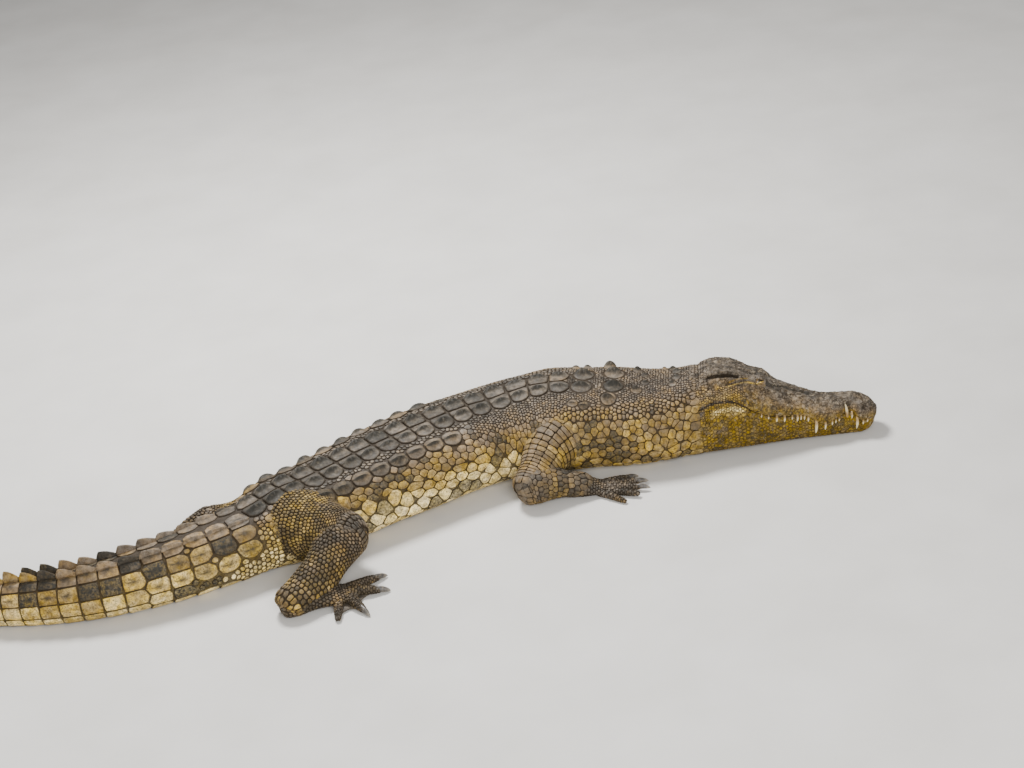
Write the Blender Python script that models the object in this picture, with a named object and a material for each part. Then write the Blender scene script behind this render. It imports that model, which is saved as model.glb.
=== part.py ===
"""A resting Nile crocodile, life size, lying on its belly with its legs drawn up beside it.

The animal is one swept body along a curved spine, parted with thin cuts into head, jaw, neck,
trunk and three lengths of tail. Each leg is three tapered limbs, and each claw and eye is a
solid of its own. Metres, +X towards the head, +Z up, floor at z = 0.
"""

import bmesh
import bpy
import numpy as np
from mathutils import Vector

# Driving sizes, in metres.
SKULL = 0.50  # snout tip to the back of the skull table
LENGTH = 3.60  # snout tip to tail tip, along the back
GAP = 0.0004  # the thin cut between neighbouring pieces
EYE_RADIUS = 0.018
WHORLS = 32  # rings of scutes along the tail

# Where the body is parted, as distances behind the snout tip.
HEAD_END = 1.10 * SKULL
NECK_END = 0.84
TRUNK_END = 2.06
TAIL_CUTS = (2.50, 3.02)

# The way the spine points, in degrees to the animal's left, by distance behind the snout tip.
HEADINGS = (
    (0.0, -7), (0.62, -7), (0.91, -8), (1.25, 18), (1.62, 31),
    (1.94, 33), (2.31, 18), (2.78, -9), (3.60, -22),
)

HEAD_TILT = 10.0  # degrees that the head leans onto its left side
TWIST = (0.42, 0.80)  # where the lean fades out along the neck

# The body behind the skull: distance behind the snout, half width, back height, height of the widest line.
BODY = (
    (0.51, 0.167, 0.222, 0.084),
    (0.66, 0.188, 0.224, 0.084),
    (0.83, 0.194, 0.242, 0.088),
    (0.99, 0.194, 0.246, 0.090),
    (1.22, 0.198, 0.224, 0.090),
    (1.48, 0.202, 0.214, 0.086),
    (1.70, 0.186, 0.207, 0.086),
    (1.87, 0.155, 0.201, 0.088),
    (2.01, 0.126, 0.193, 0.084),
    (2.25, 0.102, 0.180, 0.080),
    (2.57, 0.078, 0.150, 0.066),
    (2.99, 0.047, 0.108, 0.047),
    (3.31, 0.028, 0.074, 0.032),
    (3.60, 0.008, 0.030, 0.013),
)
BODY_SINK = 0.012  # how far the round belly would reach below the floor, so that it lies flat on it
BODY_BOX = ((0.50, 0.82), (1.48, 0.78), (2.01, 0.86), (2.54, 0.92), (3.60, 0.96))  # 1 is a plain ellipse

# The paired crest of the tail, which meets in one: distance, offset from the middle, height.
CREST = (
    (2.06, 0.050, 0.007), (2.28, 0.038, 0.016), (2.60, 0.020, 0.030), (2.78, 0.003, 0.036),
    (3.02, 0.0015, 0.036), (3.34, 0.0015, 0.026), (3.60, 0.0015, 0.010),
)
CREST_HALF_THICKNESS = 0.008
CREST_MERGE = (2.65, 2.80)

# The head, in skull lengths: distance behind the snout tip, then across and up for each line of the
# face from the crown to the sole of the jaw: top, ridge, temple, cheek, lip, jaw, sole.
HEAD = (
    #  s     top    ridge         temple        cheek         lip           jaw           sole
    (0.000, 0.160, 0.028, 0.155, 0.046, 0.145, 0.054, 0.130, 0.040, 0.112, 0.030, 0.098, 0.012, 0.082),
    (0.015, 0.182, 0.044, 0.176, 0.068, 0.164, 0.078, 0.143, 0.064, 0.102, 0.048, 0.078, 0.028, 0.048),
    (0.045, 0.206, 0.056, 0.198, 0.085, 0.183, 0.102, 0.147, 0.092, 0.093, 0.074, 0.061, 0.044, 0.016),
    (0.095, 0.232, 0.060, 0.219, 0.094, 0.195, 0.114, 0.151, 0.106, 0.087, 0.090, 0.055, 0.056, 0.000),
    (0.165, 0.254, 0.056, 0.232, 0.080, 0.201, 0.088, 0.174, 0.082, 0.145, 0.096, 0.072, 0.061, 0.000),
    (0.240, 0.257, 0.058, 0.234, 0.098, 0.190, 0.128, 0.152, 0.124, 0.114, 0.108, 0.060, 0.068, 0.000),
    (0.335, 0.264, 0.060, 0.243, 0.116, 0.198, 0.156, 0.155, 0.154, 0.104, 0.130, 0.056, 0.080, 0.000),
    (0.445, 0.298, 0.063, 0.275, 0.120, 0.226, 0.157, 0.196, 0.154, 0.166, 0.146, 0.092, 0.092, 0.000),
    (0.525, 0.332, 0.068, 0.310, 0.128, 0.256, 0.176, 0.216, 0.173, 0.174, 0.166, 0.094, 0.104, 0.000),
    (0.610, 0.360, 0.076, 0.356, 0.137, 0.292, 0.198, 0.242, 0.196, 0.184, 0.192, 0.092, 0.122, 0.000),
    (0.700, 0.380, 0.098, 0.412, 0.146, 0.346, 0.218, 0.268, 0.219, 0.216, 0.218, 0.100, 0.142, 0.000),
    (0.780, 0.424, 0.116, 0.442, 0.164, 0.380, 0.235, 0.305, 0.239, 0.258, 0.238, 0.116, 0.159, 0.000),
    (0.900, 0.478, 0.134, 0.488, 0.181, 0.414, 0.257, 0.326, 0.261, 0.280, 0.264, 0.128, 0.181, 0.000),
    (1.000, 0.498, 0.142, 0.492, 0.196, 0.408, 0.274, 0.312, 0.279, 0.266, 0.283, 0.130, 0.198, 0.000),
    (1.100, 0.500, 0.150, 0.472, 0.220, 0.388, 0.283, 0.296, 0.292, 0.256, 0.294, 0.132, 0.205, 0.000),
)
JAW_START = 0.018  # in skull lengths: the lower jaw begins just behind the tip of the snout
EYE_AT = (0.715, 0.1025, 0.398)  # in skull lengths: behind the snout tip, across, up

# Teeth that show with the mouth shut: distance in skull lengths, length and radius in millimetres.
UPPER_TEETH = (
    (0.055, 9, 2.6), (0.082, 12, 3.0), (0.118, 30, 4.8), (0.148, 14, 3.0), (0.228, 9, 2.6),
    (0.250, 10, 2.8), (0.272, 12, 3.0), (0.315, 20, 3.8), (0.370, 34, 5.4), (0.417, 14, 3.4),
    (0.440, 12, 3.0), (0.461, 13, 3.2), (0.483, 17, 3.6), (0.515, 10, 2.8), (0.562, 15, 4.0),
    (0.610, 13, 3.8), (0.660, 8, 2.6), (0.702, 8, 2.4),
)
LOWER_TEETH = ((0.178, 33, 4.6),)
JAW_INSET = 0.006  # how far the rim of the lower jaw lies inside the upper lip
TOOTH_CLEARANCE = 0.0025  # between a tooth's side and the other jaw

# Limbs, in the body's own terms: distance behind the snout, across, up, half width, half height.
UPPER_ARM = (
    (0.93, 0.115, 0.122, 0.066, 0.070), (1.00, 0.185, 0.116, 0.060, 0.066),
    (1.08, 0.250, 0.088, 0.050, 0.054), (1.155, 0.292, 0.062, 0.042, 0.045),
)
FOREARM = (
    (1.170, 0.298, 0.053, 0.042, 0.046), (1.10, 0.300, 0.058, 0.047, 0.051),
    (0.99, 0.288, 0.050, 0.041, 0.044), (0.905, 0.270, 0.035, 0.032, 0.031),
)
HAND = (
    (0.925, 0.272, 0.026, 0.027, 0.022), (0.865, 0.268, 0.018, 0.036, 0.018), (0.815, 0.270, 0.011, 0.038, 0.012),
)
THIGH = (
    (1.930, 0.080, 0.112, 0.092, 0.088), (1.905, 0.155, 0.124, 0.086, 0.082),
    (1.878, 0.215, 0.130, 0.068, 0.066), (1.865, 0.250, 0.128, 0.052, 0.054),
)
SHANK = (
    (1.868, 0.262, 0.116, 0.048, 0.051), (1.925, 0.276, 0.100, 0.055, 0.055),
    (2.000, 0.296, 0.072, 0.052, 0.052), (2.080, 0.316, 0.042, 0.040, 0.038),
)
FOOT = (
    (2.105, 0.322, 0.029, 0.031, 0.028), (2.05, 0.334, 0.028, 0.036, 0.027),
    (1.99, 0.356, 0.020, 0.043, 0.019), (1.94, 0.376, 0.013, 0.046, 0.013),
)
# The left arm lies outside the body's bend, so its places along the spine are squeezed about one of them.
TUCK_ABOUT = 1.02
TUCK_SQUEEZE = 0.68
TUCK_IN = 0.022

# The left hind leg is stretched back beside the tail.
THIGH_BACK = (
    (1.930, 0.075, 0.098, 0.084, 0.076), (1.975, 0.125, 0.080, 0.070, 0.060),
    (2.030, 0.160, 0.066, 0.056, 0.050), (2.085, 0.184, 0.056, 0.048, 0.045),
)
SHANK_BACK = (
    (2.095, 0.198, 0.058, 0.046, 0.046), (2.150, 0.198, 0.054, 0.048, 0.046),
    (2.220, 0.192, 0.045, 0.040, 0.038), (2.295, 0.184, 0.034, 0.031, 0.030),
)
FOOT_BACK = (
    (2.310, 0.182, 0.028, 0.028, 0.026), (2.360, 0.178, 0.024, 0.034, 0.023),
    (2.420, 0.178, 0.018, 0.041, 0.018), (2.475, 0.180, 0.013, 0.045, 0.013),
)
# Digits: where each leaves the palm and where it ends (distance, across), radius and whether it has a claw.
FINGERS = (
    (0.840, 0.246, 0.770, 0.214, 0.0120, True),
    (0.828, 0.257, 0.742, 0.243, 0.0125, True),
    (0.822, 0.270, 0.736, 0.278, 0.0125, True),
    (0.828, 0.284, 0.738, 0.314, 0.0105, False),
    (0.842, 0.297, 0.776, 0.346, 0.0095, False),
)
TOES = (
    (1.950, 0.350, 1.848, 0.360, 0.0140, True),
    (1.948, 0.372, 1.880, 0.416, 0.0145, True),
    (1.965, 0.390, 1.965, 0.466, 0.0140, True),
    (1.995, 0.388, 2.030, 0.452, 0.0115, False),
)
TOES_BACK = (
    (2.468, 0.150, 2.556, 0.138, 0.0140, True),
    (2.474, 0.168, 2.590, 0.172, 0.0145, True),
    (2.474, 0.188, 2.590, 0.208, 0.0140, True),
    (2.464, 0.208, 2.556, 0.246, 0.0115, False),
)
CLAW_LENGTH = 0.036

# Colours: olive brown above, tan flanks, ochre below.
SKIN_COLOURS = {
    "head": (0.20, 0.15, 0.10), "jaw": (0.42, 0.29, 0.08), "neck": (0.30, 0.23, 0.12),
    "trunk": (0.26, 0.21, 0.13), "tail": (0.30, 0.25, 0.13), "leg": (0.22, 0.18, 0.12),
}
CLAW_COLOUR = (0.10, 0.09, 0.08)
EYE_COLOUR = (0.35, 0.26, 0.08)


def smooth(x, xs, ys):
    """Monotone cubic curve through (xs, ys) at x; ys may hold several curves along its last axis."""
    xs, ys = np.asarray(xs, float), np.asarray(ys, float)
    step = np.diff(xs)
    slope = np.diff(ys, axis=-1) / step
    before, after = slope[..., :-1], slope[..., 1:]
    total = before + after
    mean = 2 * before * after / np.where(total == 0, 1, total)
    inner = np.where(before * after > 0, mean, 0.0)
    tangent = np.concatenate([slope[..., :1], inner, slope[..., -1:]], axis=-1)
    x = np.clip(x, xs[0], xs[-1])
    i = np.clip(np.searchsorted(xs, x, side="right") - 1, 0, len(step) - 1)
    t = (x - xs[i]) / step[i]
    rise = ys[..., i + 1] - ys[..., i]
    bend = step[i]
    return (
        ys[..., i]
        + rise * t * t * (3 - 2 * t)
        + bend * t * (1 - t) ** 2 * tangent[..., i]
        - bend * t * t * (1 - t) * tangent[..., i + 1]
    )


def ramp(x, low, high):
    """0 below low, 1 above high, and an S curve between."""
    t = np.clip((x - low) / (high - low), 0.0, 1.0)
    return t * t * (3 - 2 * t)


def spine_table(count=1701):
    """Distances along the spine with the point and the heading at each, by adding up short steps."""
    s = np.linspace(0, LENGTH, count)
    turn = np.radians(smooth(s, *zip(*HEADINGS)))
    back = -np.stack([np.cos(turn), np.sin(turn)], axis=1)
    steps = (back[1:] + back[:-1]) / 2 * (s[1] - s[0])
    points = np.concatenate([np.zeros((1, 2)), np.cumsum(steps, axis=0)])
    return s, points, turn


SPINE = spine_table()


def place(s, across, up):
    """World point at a distance along the spine, across to the animal's left, and above the floor.

    The head is tilted about the spine onto its left side, and the neck twists back to level."""
    table, points, turn = SPINE
    x, y, heading = (np.interp(s, table, v) for v in (points[:, 0], points[:, 1], turn))
    tilt = np.radians(HEAD_TILT) * (1 - ramp(s, *TWIST))
    side = across * np.cos(tilt) + up * np.sin(tilt)
    rise = up * np.cos(tilt) - across * np.sin(tilt)
    return np.stack(
        np.broadcast_arrays(x - np.sin(heading) * side, y + np.cos(heading) * side, np.maximum(rise, 0.0)),
        axis=-1,
    )


def body_half(s, w):
    """Across and up of the body's outline: w runs 0 at the back, 1 at the widest line, 2 under the belly."""
    wide, high, waist = (smooth(s, [r[0] for r in BODY], [r[k] for r in BODY]) for k in (1, 2, 3))
    power = smooth(s, *zip(*BODY_BOX))
    angle = np.pi / 2 * (1 - np.asarray(w, float))
    rise = np.where(angle >= 0, high - waist, waist + BODY_SINK)
    across = wide * np.abs(np.cos(angle)) ** power
    up = waist + rise * np.sign(angle) * np.abs(np.sin(angle)) ** power
    return across, np.maximum(up, 0.0)


def head_half(s, w, lower):
    """Across and up of the head's outline: crown to lip for w 0 to 1, or lip to sole for w 1 to 2."""
    rows = np.array(HEAD).T
    row = smooth(s / SKULL, rows[0], rows[1:]) * SKULL
    top, ridge, temple, cheek, lip, jaw, sole = row[0], row[1:3], row[3:5], row[5:7], row[7:9], row[9:11], row[11:13]
    if lower:
        points = np.array([lip, jaw, sole, (0.0, sole[1])])
        return smooth((w - 1) * 3, range(4), points.T)
    points = np.array([(0.0, top), ridge, temple, cheek, lip])
    return smooth(w * 4, range(5), points.T)


def outline(s, w, lower):
    """The whole animal's half outline, with the head's shape passing into the neck's behind the skull."""
    w = np.asarray(w, float)
    share = ramp(s, 0.94 * SKULL, 1.30 * SKULL)
    return (1 - share) * head_half(s, w, lower) + share * np.array(body_half(s, w))


def add_solid(name, rings, colour, shown=True, grown=0.0):
    """One closed mesh through rings of points, with flat ends, faces outwards, swollen by grown."""
    rings = np.asarray(rings, float)
    count, around = rings.shape[:2]
    mesh = bpy.data.meshes.new(name)
    work = bmesh.new()
    verts = [[work.verts.new(p) for p in ring] for ring in rings]
    for a, b in zip(verts, verts[1:]):
        for i in range(around):
            j = (i + 1) % around
            work.faces.new((a[i], a[j], b[j], b[i]))
    work.faces.new(verts[0][::-1])
    work.faces.new(verts[-1])
    bmesh.ops.triangulate(work, faces=work.faces)
    bmesh.ops.remove_doubles(work, verts=work.verts, dist=1e-5)
    bmesh.ops.dissolve_degenerate(work, edges=work.edges, dist=1e-5)
    bmesh.ops.recalc_face_normals(work, faces=work.faces)
    work.normal_update()
    moves = [vert.normal * grown * vert.calc_shell_factor() for vert in work.verts]
    for vert, move in zip(work.verts, moves):
        vert.co += move
    work.to_mesh(mesh)
    work.free()
    mesh.shade_smooth()
    return add_object(name, mesh, colour, shown)


def add_object(name, mesh, colour, shown=True):
    obj = bpy.data.objects.new(name, mesh)
    bpy.context.scene.collection.objects.link(obj)
    obj.hide_render = not shown
    if shown:
        mesh.materials.append(material(name, colour))
    else:
        obj.display_type = "WIRE"
    return obj


def material(name, colour, roughness=0.6):
    made = bpy.data.materials.new(name)
    made.use_nodes = True
    shader = made.node_tree.nodes["Principled BSDF"]
    shader.inputs["Base Color"].default_value = (*colour, 1.0)
    shader.inputs["Roughness"].default_value = roughness
    made.diffuse_color = (*colour, 1.0)
    return made


def combine(obj, other, operation, solver="EXACT"):
    cut = obj.modifiers.new(operation.lower(), "BOOLEAN")
    cut.operation = operation
    cut.object = other
    cut.solver = solver


def full_ring(s, across, up):
    """A closed ring from a half outline that starts and ends on the middle line."""
    right = place(s, -across, up)
    left = place(s, across, up)[1:-1]
    return np.concatenate([right, left[::-1]])


def body_ring(s, upper=7, lower=5):
    w = np.concatenate([np.linspace(0, 1, upper), np.linspace(1, 2, lower)[1:]])
    top = outline(s, w[:upper], False)
    under = outline(s, w[upper:], True)
    across, up = np.concatenate([top, under], axis=1)
    return full_ring(s, across, up)


def add_head():
    """Skull and upper jaw: rings from lip to lip over the crown, closed flat along the mouth."""
    rings = []
    for s in head_stations():
        across, up = outline(s, np.array([0, 0.14, 0.25, 0.38, 0.5, 0.65, 0.82, 1]), False)
        right = place(s, -across, up)
        left = place(s, across, up)[1:]
        rings.append(np.concatenate([right[::-1], left]))
    return add_solid("head", rings, SKIN_COLOURS["head"])


def head_stations():
    """Ring places: close together at the rounded snout, then even."""
    tip = np.array([0.0, 0.006, 0.018, 0.045, 0.080])
    rest = np.linspace(0.120, HEAD_END / SKULL, 18)
    return np.concatenate([tip, rest]) * SKULL


def add_jaw():
    """Lower jaw: rings under the mouth, just inside the lips."""
    rings = []
    for s in head_stations():
        if s < JAW_START * SKULL:
            continue
        across, up = outline(s, np.linspace(1, 2, 6), True)
        across[0] -= JAW_INSET
        up[0] -= 2 * GAP
        up = np.minimum(up, up[0])
        right = place(s, -across, up)
        left = place(s, across, up)[:-1]
        rings.append(np.concatenate([right, left[::-1]]))
    return add_solid("jaw", rings, SKIN_COLOURS["jaw"])


def tooth_rings(s, length, radius, side, rising, sides=4):
    """A curved cone rooted in its own jaw's edge, standing just clear of the other jaw."""
    way = 1 if rising else -1
    lip, up = outline(s, [1.0], False)[:, 0]
    facing = outline(s, [0.75] if rising else [1.33], not rising)[0, 0]
    across = max(lip - (0 if rising else JAW_INSET), facing) + radius + TOOTH_CLEARANCE
    angle = np.linspace(0, 2 * np.pi, sides, endpoint=False)
    rings = []
    for t, size in ((-0.5, 0.8), (0.0, 1.0), (0.55, 0.72), (1.0, 0.15)):
        inward = 2.2 * radius if t < 0 else -0.10 * length * t * t
        around = s + 0.10 * length * t * t + radius * size * np.cos(angle)
        beside = side * (across - inward) + radius * size * np.sin(angle)
        rings.append(place(around, beside, np.full(sides, up + way * length * t)))
    return rings


def join(name, parts):
    """Several helper meshes as one, for a single Boolean."""
    work = bmesh.new()
    for part in parts:
        work.from_mesh(part.data)
        bpy.data.objects.remove(part)
    mesh = bpy.data.meshes.new(name)
    work.to_mesh(mesh)
    work.free()
    return add_object(name, mesh, None, shown=False)


def add_teeth(name, table, rising):
    made = []
    for side in (-1, 1):
        for s, length, radius in table:
            rings = tooth_rings(s * SKULL, length / 1000, radius / 1000, side, rising)
            made.append(add_solid(f"{name}_{len(made)}", rings, None, shown=False))
    return join(name, made)


def add_ball(name, centre, radius, shown, sides=12):
    mesh = bpy.data.meshes.new(name)
    work = bmesh.new()
    bmesh.ops.create_uvsphere(work, u_segments=sides, v_segments=sides // 2 + 1, radius=radius)
    bmesh.ops.translate(work, verts=work.verts, vec=Vector(centre))
    bmesh.ops.triangulate(work, faces=work.faces)
    work.to_mesh(mesh)
    work.free()
    mesh.shade_smooth()
    return add_object(name, mesh, EYE_COLOUR, shown)


def add_skull_group():
    head, jaw = add_head(), add_jaw()
    combine(head, add_teeth("upper_teeth", UPPER_TEETH, rising=False), "UNION")
    combine(jaw, add_teeth("lower_teeth", LOWER_TEETH, rising=True), "UNION", "MANIFOLD")
    for side, word in ((-1, "right"), (1, "left")):
        s, across, up = (v * SKULL for v in EYE_AT)
        centre = place(s, side * across, up)
        combine(head, add_ball(f"socket_{word}", centre, EYE_RADIUS + GAP, False), "DIFFERENCE")
        add_ball(f"eye_{word}", centre, EYE_RADIUS, True)


def body_stations(start, end, spacing=0.075):
    return np.linspace(start, end, max(3, round((end - start) / spacing) + 1))


def add_neck_and_trunk():
    """Neck and trunk, and the hidden room they take up, in which the legs have no part."""
    neck = [body_ring(s) for s in body_stations(HEAD_END + GAP, NECK_END)]
    trunk = [body_ring(s) for s in body_stations(NECK_END + GAP, TRUNK_END)]
    add_solid("neck", neck, SKIN_COLOURS["neck"])
    add_solid("trunk", trunk, SKIN_COLOURS["trunk"])
    return add_solid("trunk_room", neck + trunk, None, False, GAP)


def tail_ring(s, rise):
    """The tail's outline with its crest raised above the back by the given height."""
    offset = smooth(s, [r[0] for r in CREST], [r[1] for r in CREST])
    thick = CREST_HALF_THICKNESS
    merged = ramp(s, *CREST_MERGE)
    wide = body_half(s, 1.0)[0]
    power = smooth(s, *zip(*BODY_BOX))
    inner, outer = max(offset - thick, 0.0008), offset + thick
    spots = np.array([0.0, inner, offset, outer])
    w = 1 - 2 / np.pi * np.arccos(np.minimum(spots / wide, 0.95) ** (1 / power))
    w = np.concatenate([w, w[-1] + (1 - w[-1]) * np.array([0.5, 1.0]), [1.5, 2.0]])
    across, up = body_half(s, w)
    across[1:4] = spots[1:]
    up[:2] += rise * merged
    up[2] += rise
    return full_ring(s, across, up)


def whorl_lengths():
    """Each ring of tail scutes is a little shorter than the one before it."""
    sizes = np.linspace(1.0, 0.42, WHORLS)
    return sizes * (LENGTH - TRUNK_END) / sizes.sum()


def add_tail():
    """Three lengths of tail, its crest stepped into one raised flap for each whorl, and the base's room."""
    edges = TRUNK_END + np.concatenate([[0], np.cumsum(whorl_lengths())])
    stations = []
    for low, high in zip(edges, edges[1:]):
        peak = smooth((low + high) / 2, [r[0] for r in CREST], [r[2] for r in CREST])
        stations += [(low + 0.12 * (high - low), 0.35 * peak), (low + 0.90 * (high - low), peak)]
    stations[0] = (TRUNK_END + GAP, stations[0][1])
    stations[-1] = (LENGTH, 0.0)
    cuts = (TRUNK_END, *TAIL_CUTS, LENGTH)
    for name, start, end in zip(("tail_base", "tail_middle", "tail_end"), cuts, cuts[1:]):
        inside = [(s, rise) for s, rise in stations if start < s <= end]
        if start > TRUNK_END:
            inside.insert(0, (start + GAP, inside[0][1] * 0.6))
        if end < LENGTH:
            inside.append((end, inside[-1][1] * 0.6))
        rings = [tail_ring(s, rise) for s, rise in inside]
        add_solid(name, rings, SKIN_COLOURS["tail"])
        if start == TRUNK_END:
            room = add_solid("tail_room", rings, None, False, GAP)
    return room


def limb_rings(table, side, sides=9, rings=5, round_ends=(True, True)):
    """Oval rings along a smooth path through the table's rows, with rounded ends, kept above the floor."""
    rows = np.array(table, float)
    at = np.linspace(0, len(rows) - 1, rings)
    s, across, up, wide, tall = smooth(at, np.arange(len(rows)), rows.T)
    centres = place(s, side * across, up)
    along = np.gradient(centres, axis=0)
    along /= np.linalg.norm(along, axis=1, keepdims=True)
    beside = np.cross(along, (0, 0, 1))
    beside /= np.linalg.norm(beside, axis=1, keepdims=True)
    over = np.cross(beside, along)
    stations = list(zip(centres, wide, tall, beside, over))
    caps = ((0.88, 0.45), (0.35, 0.90))
    def end_caps(i, way):
        reach = min(wide[i], tall[i])
        return [
            (centres[i] + way * along[i] * reach * out, wide[i] * size, tall[i] * size, beside[i], over[i])
            for size, out in caps
        ]
    if round_ends[0]:
        stations = end_caps(0, -1)[::-1] + stations
    if round_ends[1]:
        stations = stations + end_caps(-1, 1)
    angle = np.linspace(0, 2 * np.pi, sides, endpoint=False)
    made = []
    for centre, a, b, u, v in stations:
        ring = centre + a * np.cos(angle)[:, None] * u + b * np.sin(angle)[:, None] * v
        ring[:, 2] = np.maximum(ring[:, 2], 0.0)
        made.append(ring)
    return made


def add_limb(name, table, side, cutters, shown=True, grown=0.0, **how):
    limb = add_solid(name, limb_rings(table, side, **how), SKIN_COLOURS["leg"], shown, grown)
    for cutter in cutters:
        combine(limb, cutter, "DIFFERENCE")
    return limb


def digit_table(digit, fall=0.6):
    """A digit's path from inside the palm to its end, arched a little over its middle joint."""
    s0, a0, s1, a1, radius, _ = digit
    return [
        (s0 + (s1 - s0) * t, a0 + (a1 - a0) * t, radius * (fall + 0.25 + arch), radius * size, radius * size * 0.95)
        for t, arch, size in ((-0.12, 0.15, 1.0), (0.3, 0.35, 1.0), (0.65, 0.25, 0.95), (1.0, 0.0, 0.70))
    ]


def claw_rings(digit, side, sides=5):
    """A horn that leaves the end of a digit, curves down and ends in a blunt point above the floor."""
    radius = digit[4]
    table = digit_table(digit)
    end, before = (place(r[0], side * r[1], r[2]) for r in (table[-1], table[-2]))
    along = (end - before) / np.linalg.norm(end - before)
    beside = np.cross(along, (0, 0, 1))
    beside /= np.linalg.norm(beside)
    angle = np.linspace(0, 2 * np.pi, sides, endpoint=False)
    made = []
    for t, size in ((0.0, 0.62), (0.35, 0.56), (0.7, 0.38), (1.0, 0.10)):
        centre = end + along * (GAP * 1.5 + CLAW_LENGTH * t) + np.array([0, 0, CLAW_LENGTH * (0.10 * t - 0.16 * t * t)])
        over = np.cross(beside, along)
        ring = centre + radius * size * (np.cos(angle)[:, None] * beside + np.sin(angle)[:, None] * over)
        ring[:, 2] = np.maximum(ring[:, 2], 0.0)
        made.append(ring)
    return made


def add_foot(name, table, digits, side, cutters):
    foot = add_limb(name, table, side, cutters, sides=8, rings=4)
    for k, digit in enumerate(digits):
        clawed = digit[-1]
        helper = add_limb(
            f"{name}_digit_{k}", digit_table(digit), side, (), shown=False, sides=5, rings=3,
            round_ends=(False, not clawed),
        )
        combine(foot, helper, "UNION")
        if clawed:
            add_solid(name.replace("hand", "claw").replace("foot", "hind_claw") + f"_{k + 1}", claw_rings(digit, side), CLAW_COLOUR)


def tucked(rows, pairs=1):
    """The same limb or digits on the outside of the body's bend: shorter along the spine, closer in."""
    rows = np.array(rows, float)
    ends = rows[:, : 2 * pairs]
    ends[:, 0::2] = TUCK_ABOUT + (ends[:, 0::2] - TUCK_ABOUT) * TUCK_SQUEEZE
    ends[:, 1::2] -= TUCK_IN
    return rows.tolist()


def add_leg(names, tables, digits, side, rooms):
    """Three limbs, each cut clear of the body and of the limb above it, and the last with its digits."""
    first_room = add_limb(names[0] + "_room", tables[0], side, (), shown=False, grown=GAP)
    second_room = add_limb(names[1] + "_room", tables[1], side, (), shown=False, grown=GAP)
    add_limb(names[0], tables[0], side, rooms)
    add_limb(names[1], tables[1], side, (*rooms, first_room))
    add_foot(names[2], tables[2], digits, side, (*rooms, first_room, second_room))


def add_legs(body, tail):
    """The right legs are drawn up; on the left the arm is tucked in and the hind leg stretched back."""
    arm, leg = ("upper_arm", "forearm", "hand"), ("thigh", "shank", "foot")
    right, left = ([[f"{name}_{side}" for name in names] for names in (arm, leg)] for side in ("right", "left"))
    add_leg(right[0], (UPPER_ARM, FOREARM, HAND), FINGERS, -1, (body,))
    add_leg(right[1], (THIGH, SHANK, FOOT), TOES, -1, (body, tail))
    arm_tables = [tucked(table) for table in (UPPER_ARM, FOREARM, HAND)]
    add_leg(left[0], arm_tables, tucked(FINGERS, pairs=2), 1, (body,))
    add_leg(left[1], (THIGH_BACK, SHANK_BACK, FOOT_BACK), TOES_BACK, 1, (body, tail))


def centre_on_origin():
    """Moves everything so that the middle of the whole animal's box is over the origin."""
    bpy.context.view_layer.update()
    graph = bpy.context.evaluated_depsgraph_get()
    shown = [o for o in bpy.context.scene.objects if not o.hide_render]
    corners = np.array([v.co for o in shown for v in o.evaluated_get(graph).data.vertices])
    middle = (corners.min(axis=0) + corners.max(axis=0)) / 2
    for obj in bpy.context.scene.objects:
        obj.location = (-middle[0], -middle[1], 0.0)


def main():
    for obj in list(bpy.data.objects):
        bpy.data.objects.remove(obj)
    add_skull_group()
    body_room = add_neck_and_trunk()
    tail_room = add_tail()
    add_legs(body_room, tail_room)
    centre_on_origin()


main()
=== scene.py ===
"""The looks of a resting Nile crocodile: one hide over the whole animal, a coat of horny plates,
eyes, teeth and claws, on a pale floor.

Everything is worked out from the animal's own coordinates: u runs along the spine from the tip of
the snout, in metres, and v runs round the body, 0 on the back, 1 on the widest line or the lip and
2 under the belly, with a minus sign on the right side. Metres, +X towards the head, +Z up.
"""

import bpy
import numpy as np
from mathutils import Matrix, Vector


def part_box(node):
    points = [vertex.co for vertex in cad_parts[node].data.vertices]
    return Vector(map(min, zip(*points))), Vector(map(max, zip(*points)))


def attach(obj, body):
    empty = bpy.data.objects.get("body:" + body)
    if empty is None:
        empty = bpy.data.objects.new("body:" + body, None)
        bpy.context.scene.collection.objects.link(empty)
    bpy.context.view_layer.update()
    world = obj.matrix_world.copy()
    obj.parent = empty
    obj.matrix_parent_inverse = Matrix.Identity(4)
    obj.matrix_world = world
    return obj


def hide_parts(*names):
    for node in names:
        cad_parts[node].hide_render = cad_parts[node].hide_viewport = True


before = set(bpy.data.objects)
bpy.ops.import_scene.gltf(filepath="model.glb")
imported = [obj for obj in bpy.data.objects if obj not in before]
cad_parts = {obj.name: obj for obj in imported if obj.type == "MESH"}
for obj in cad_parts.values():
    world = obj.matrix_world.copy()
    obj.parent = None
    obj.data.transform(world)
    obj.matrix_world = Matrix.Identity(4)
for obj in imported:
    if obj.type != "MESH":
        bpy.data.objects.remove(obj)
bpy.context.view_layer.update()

bl_info = {
    "name": "Resting crocodile",
    "version": (1, 0, 0),
    "blender": (4, 5, 0),
    "location": "3D View > Sidebar > Crocodile",
    "description": "Hide, plates, eyes, teeth and claws of a resting Nile crocodile",
    "category": "Object",
}

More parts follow.
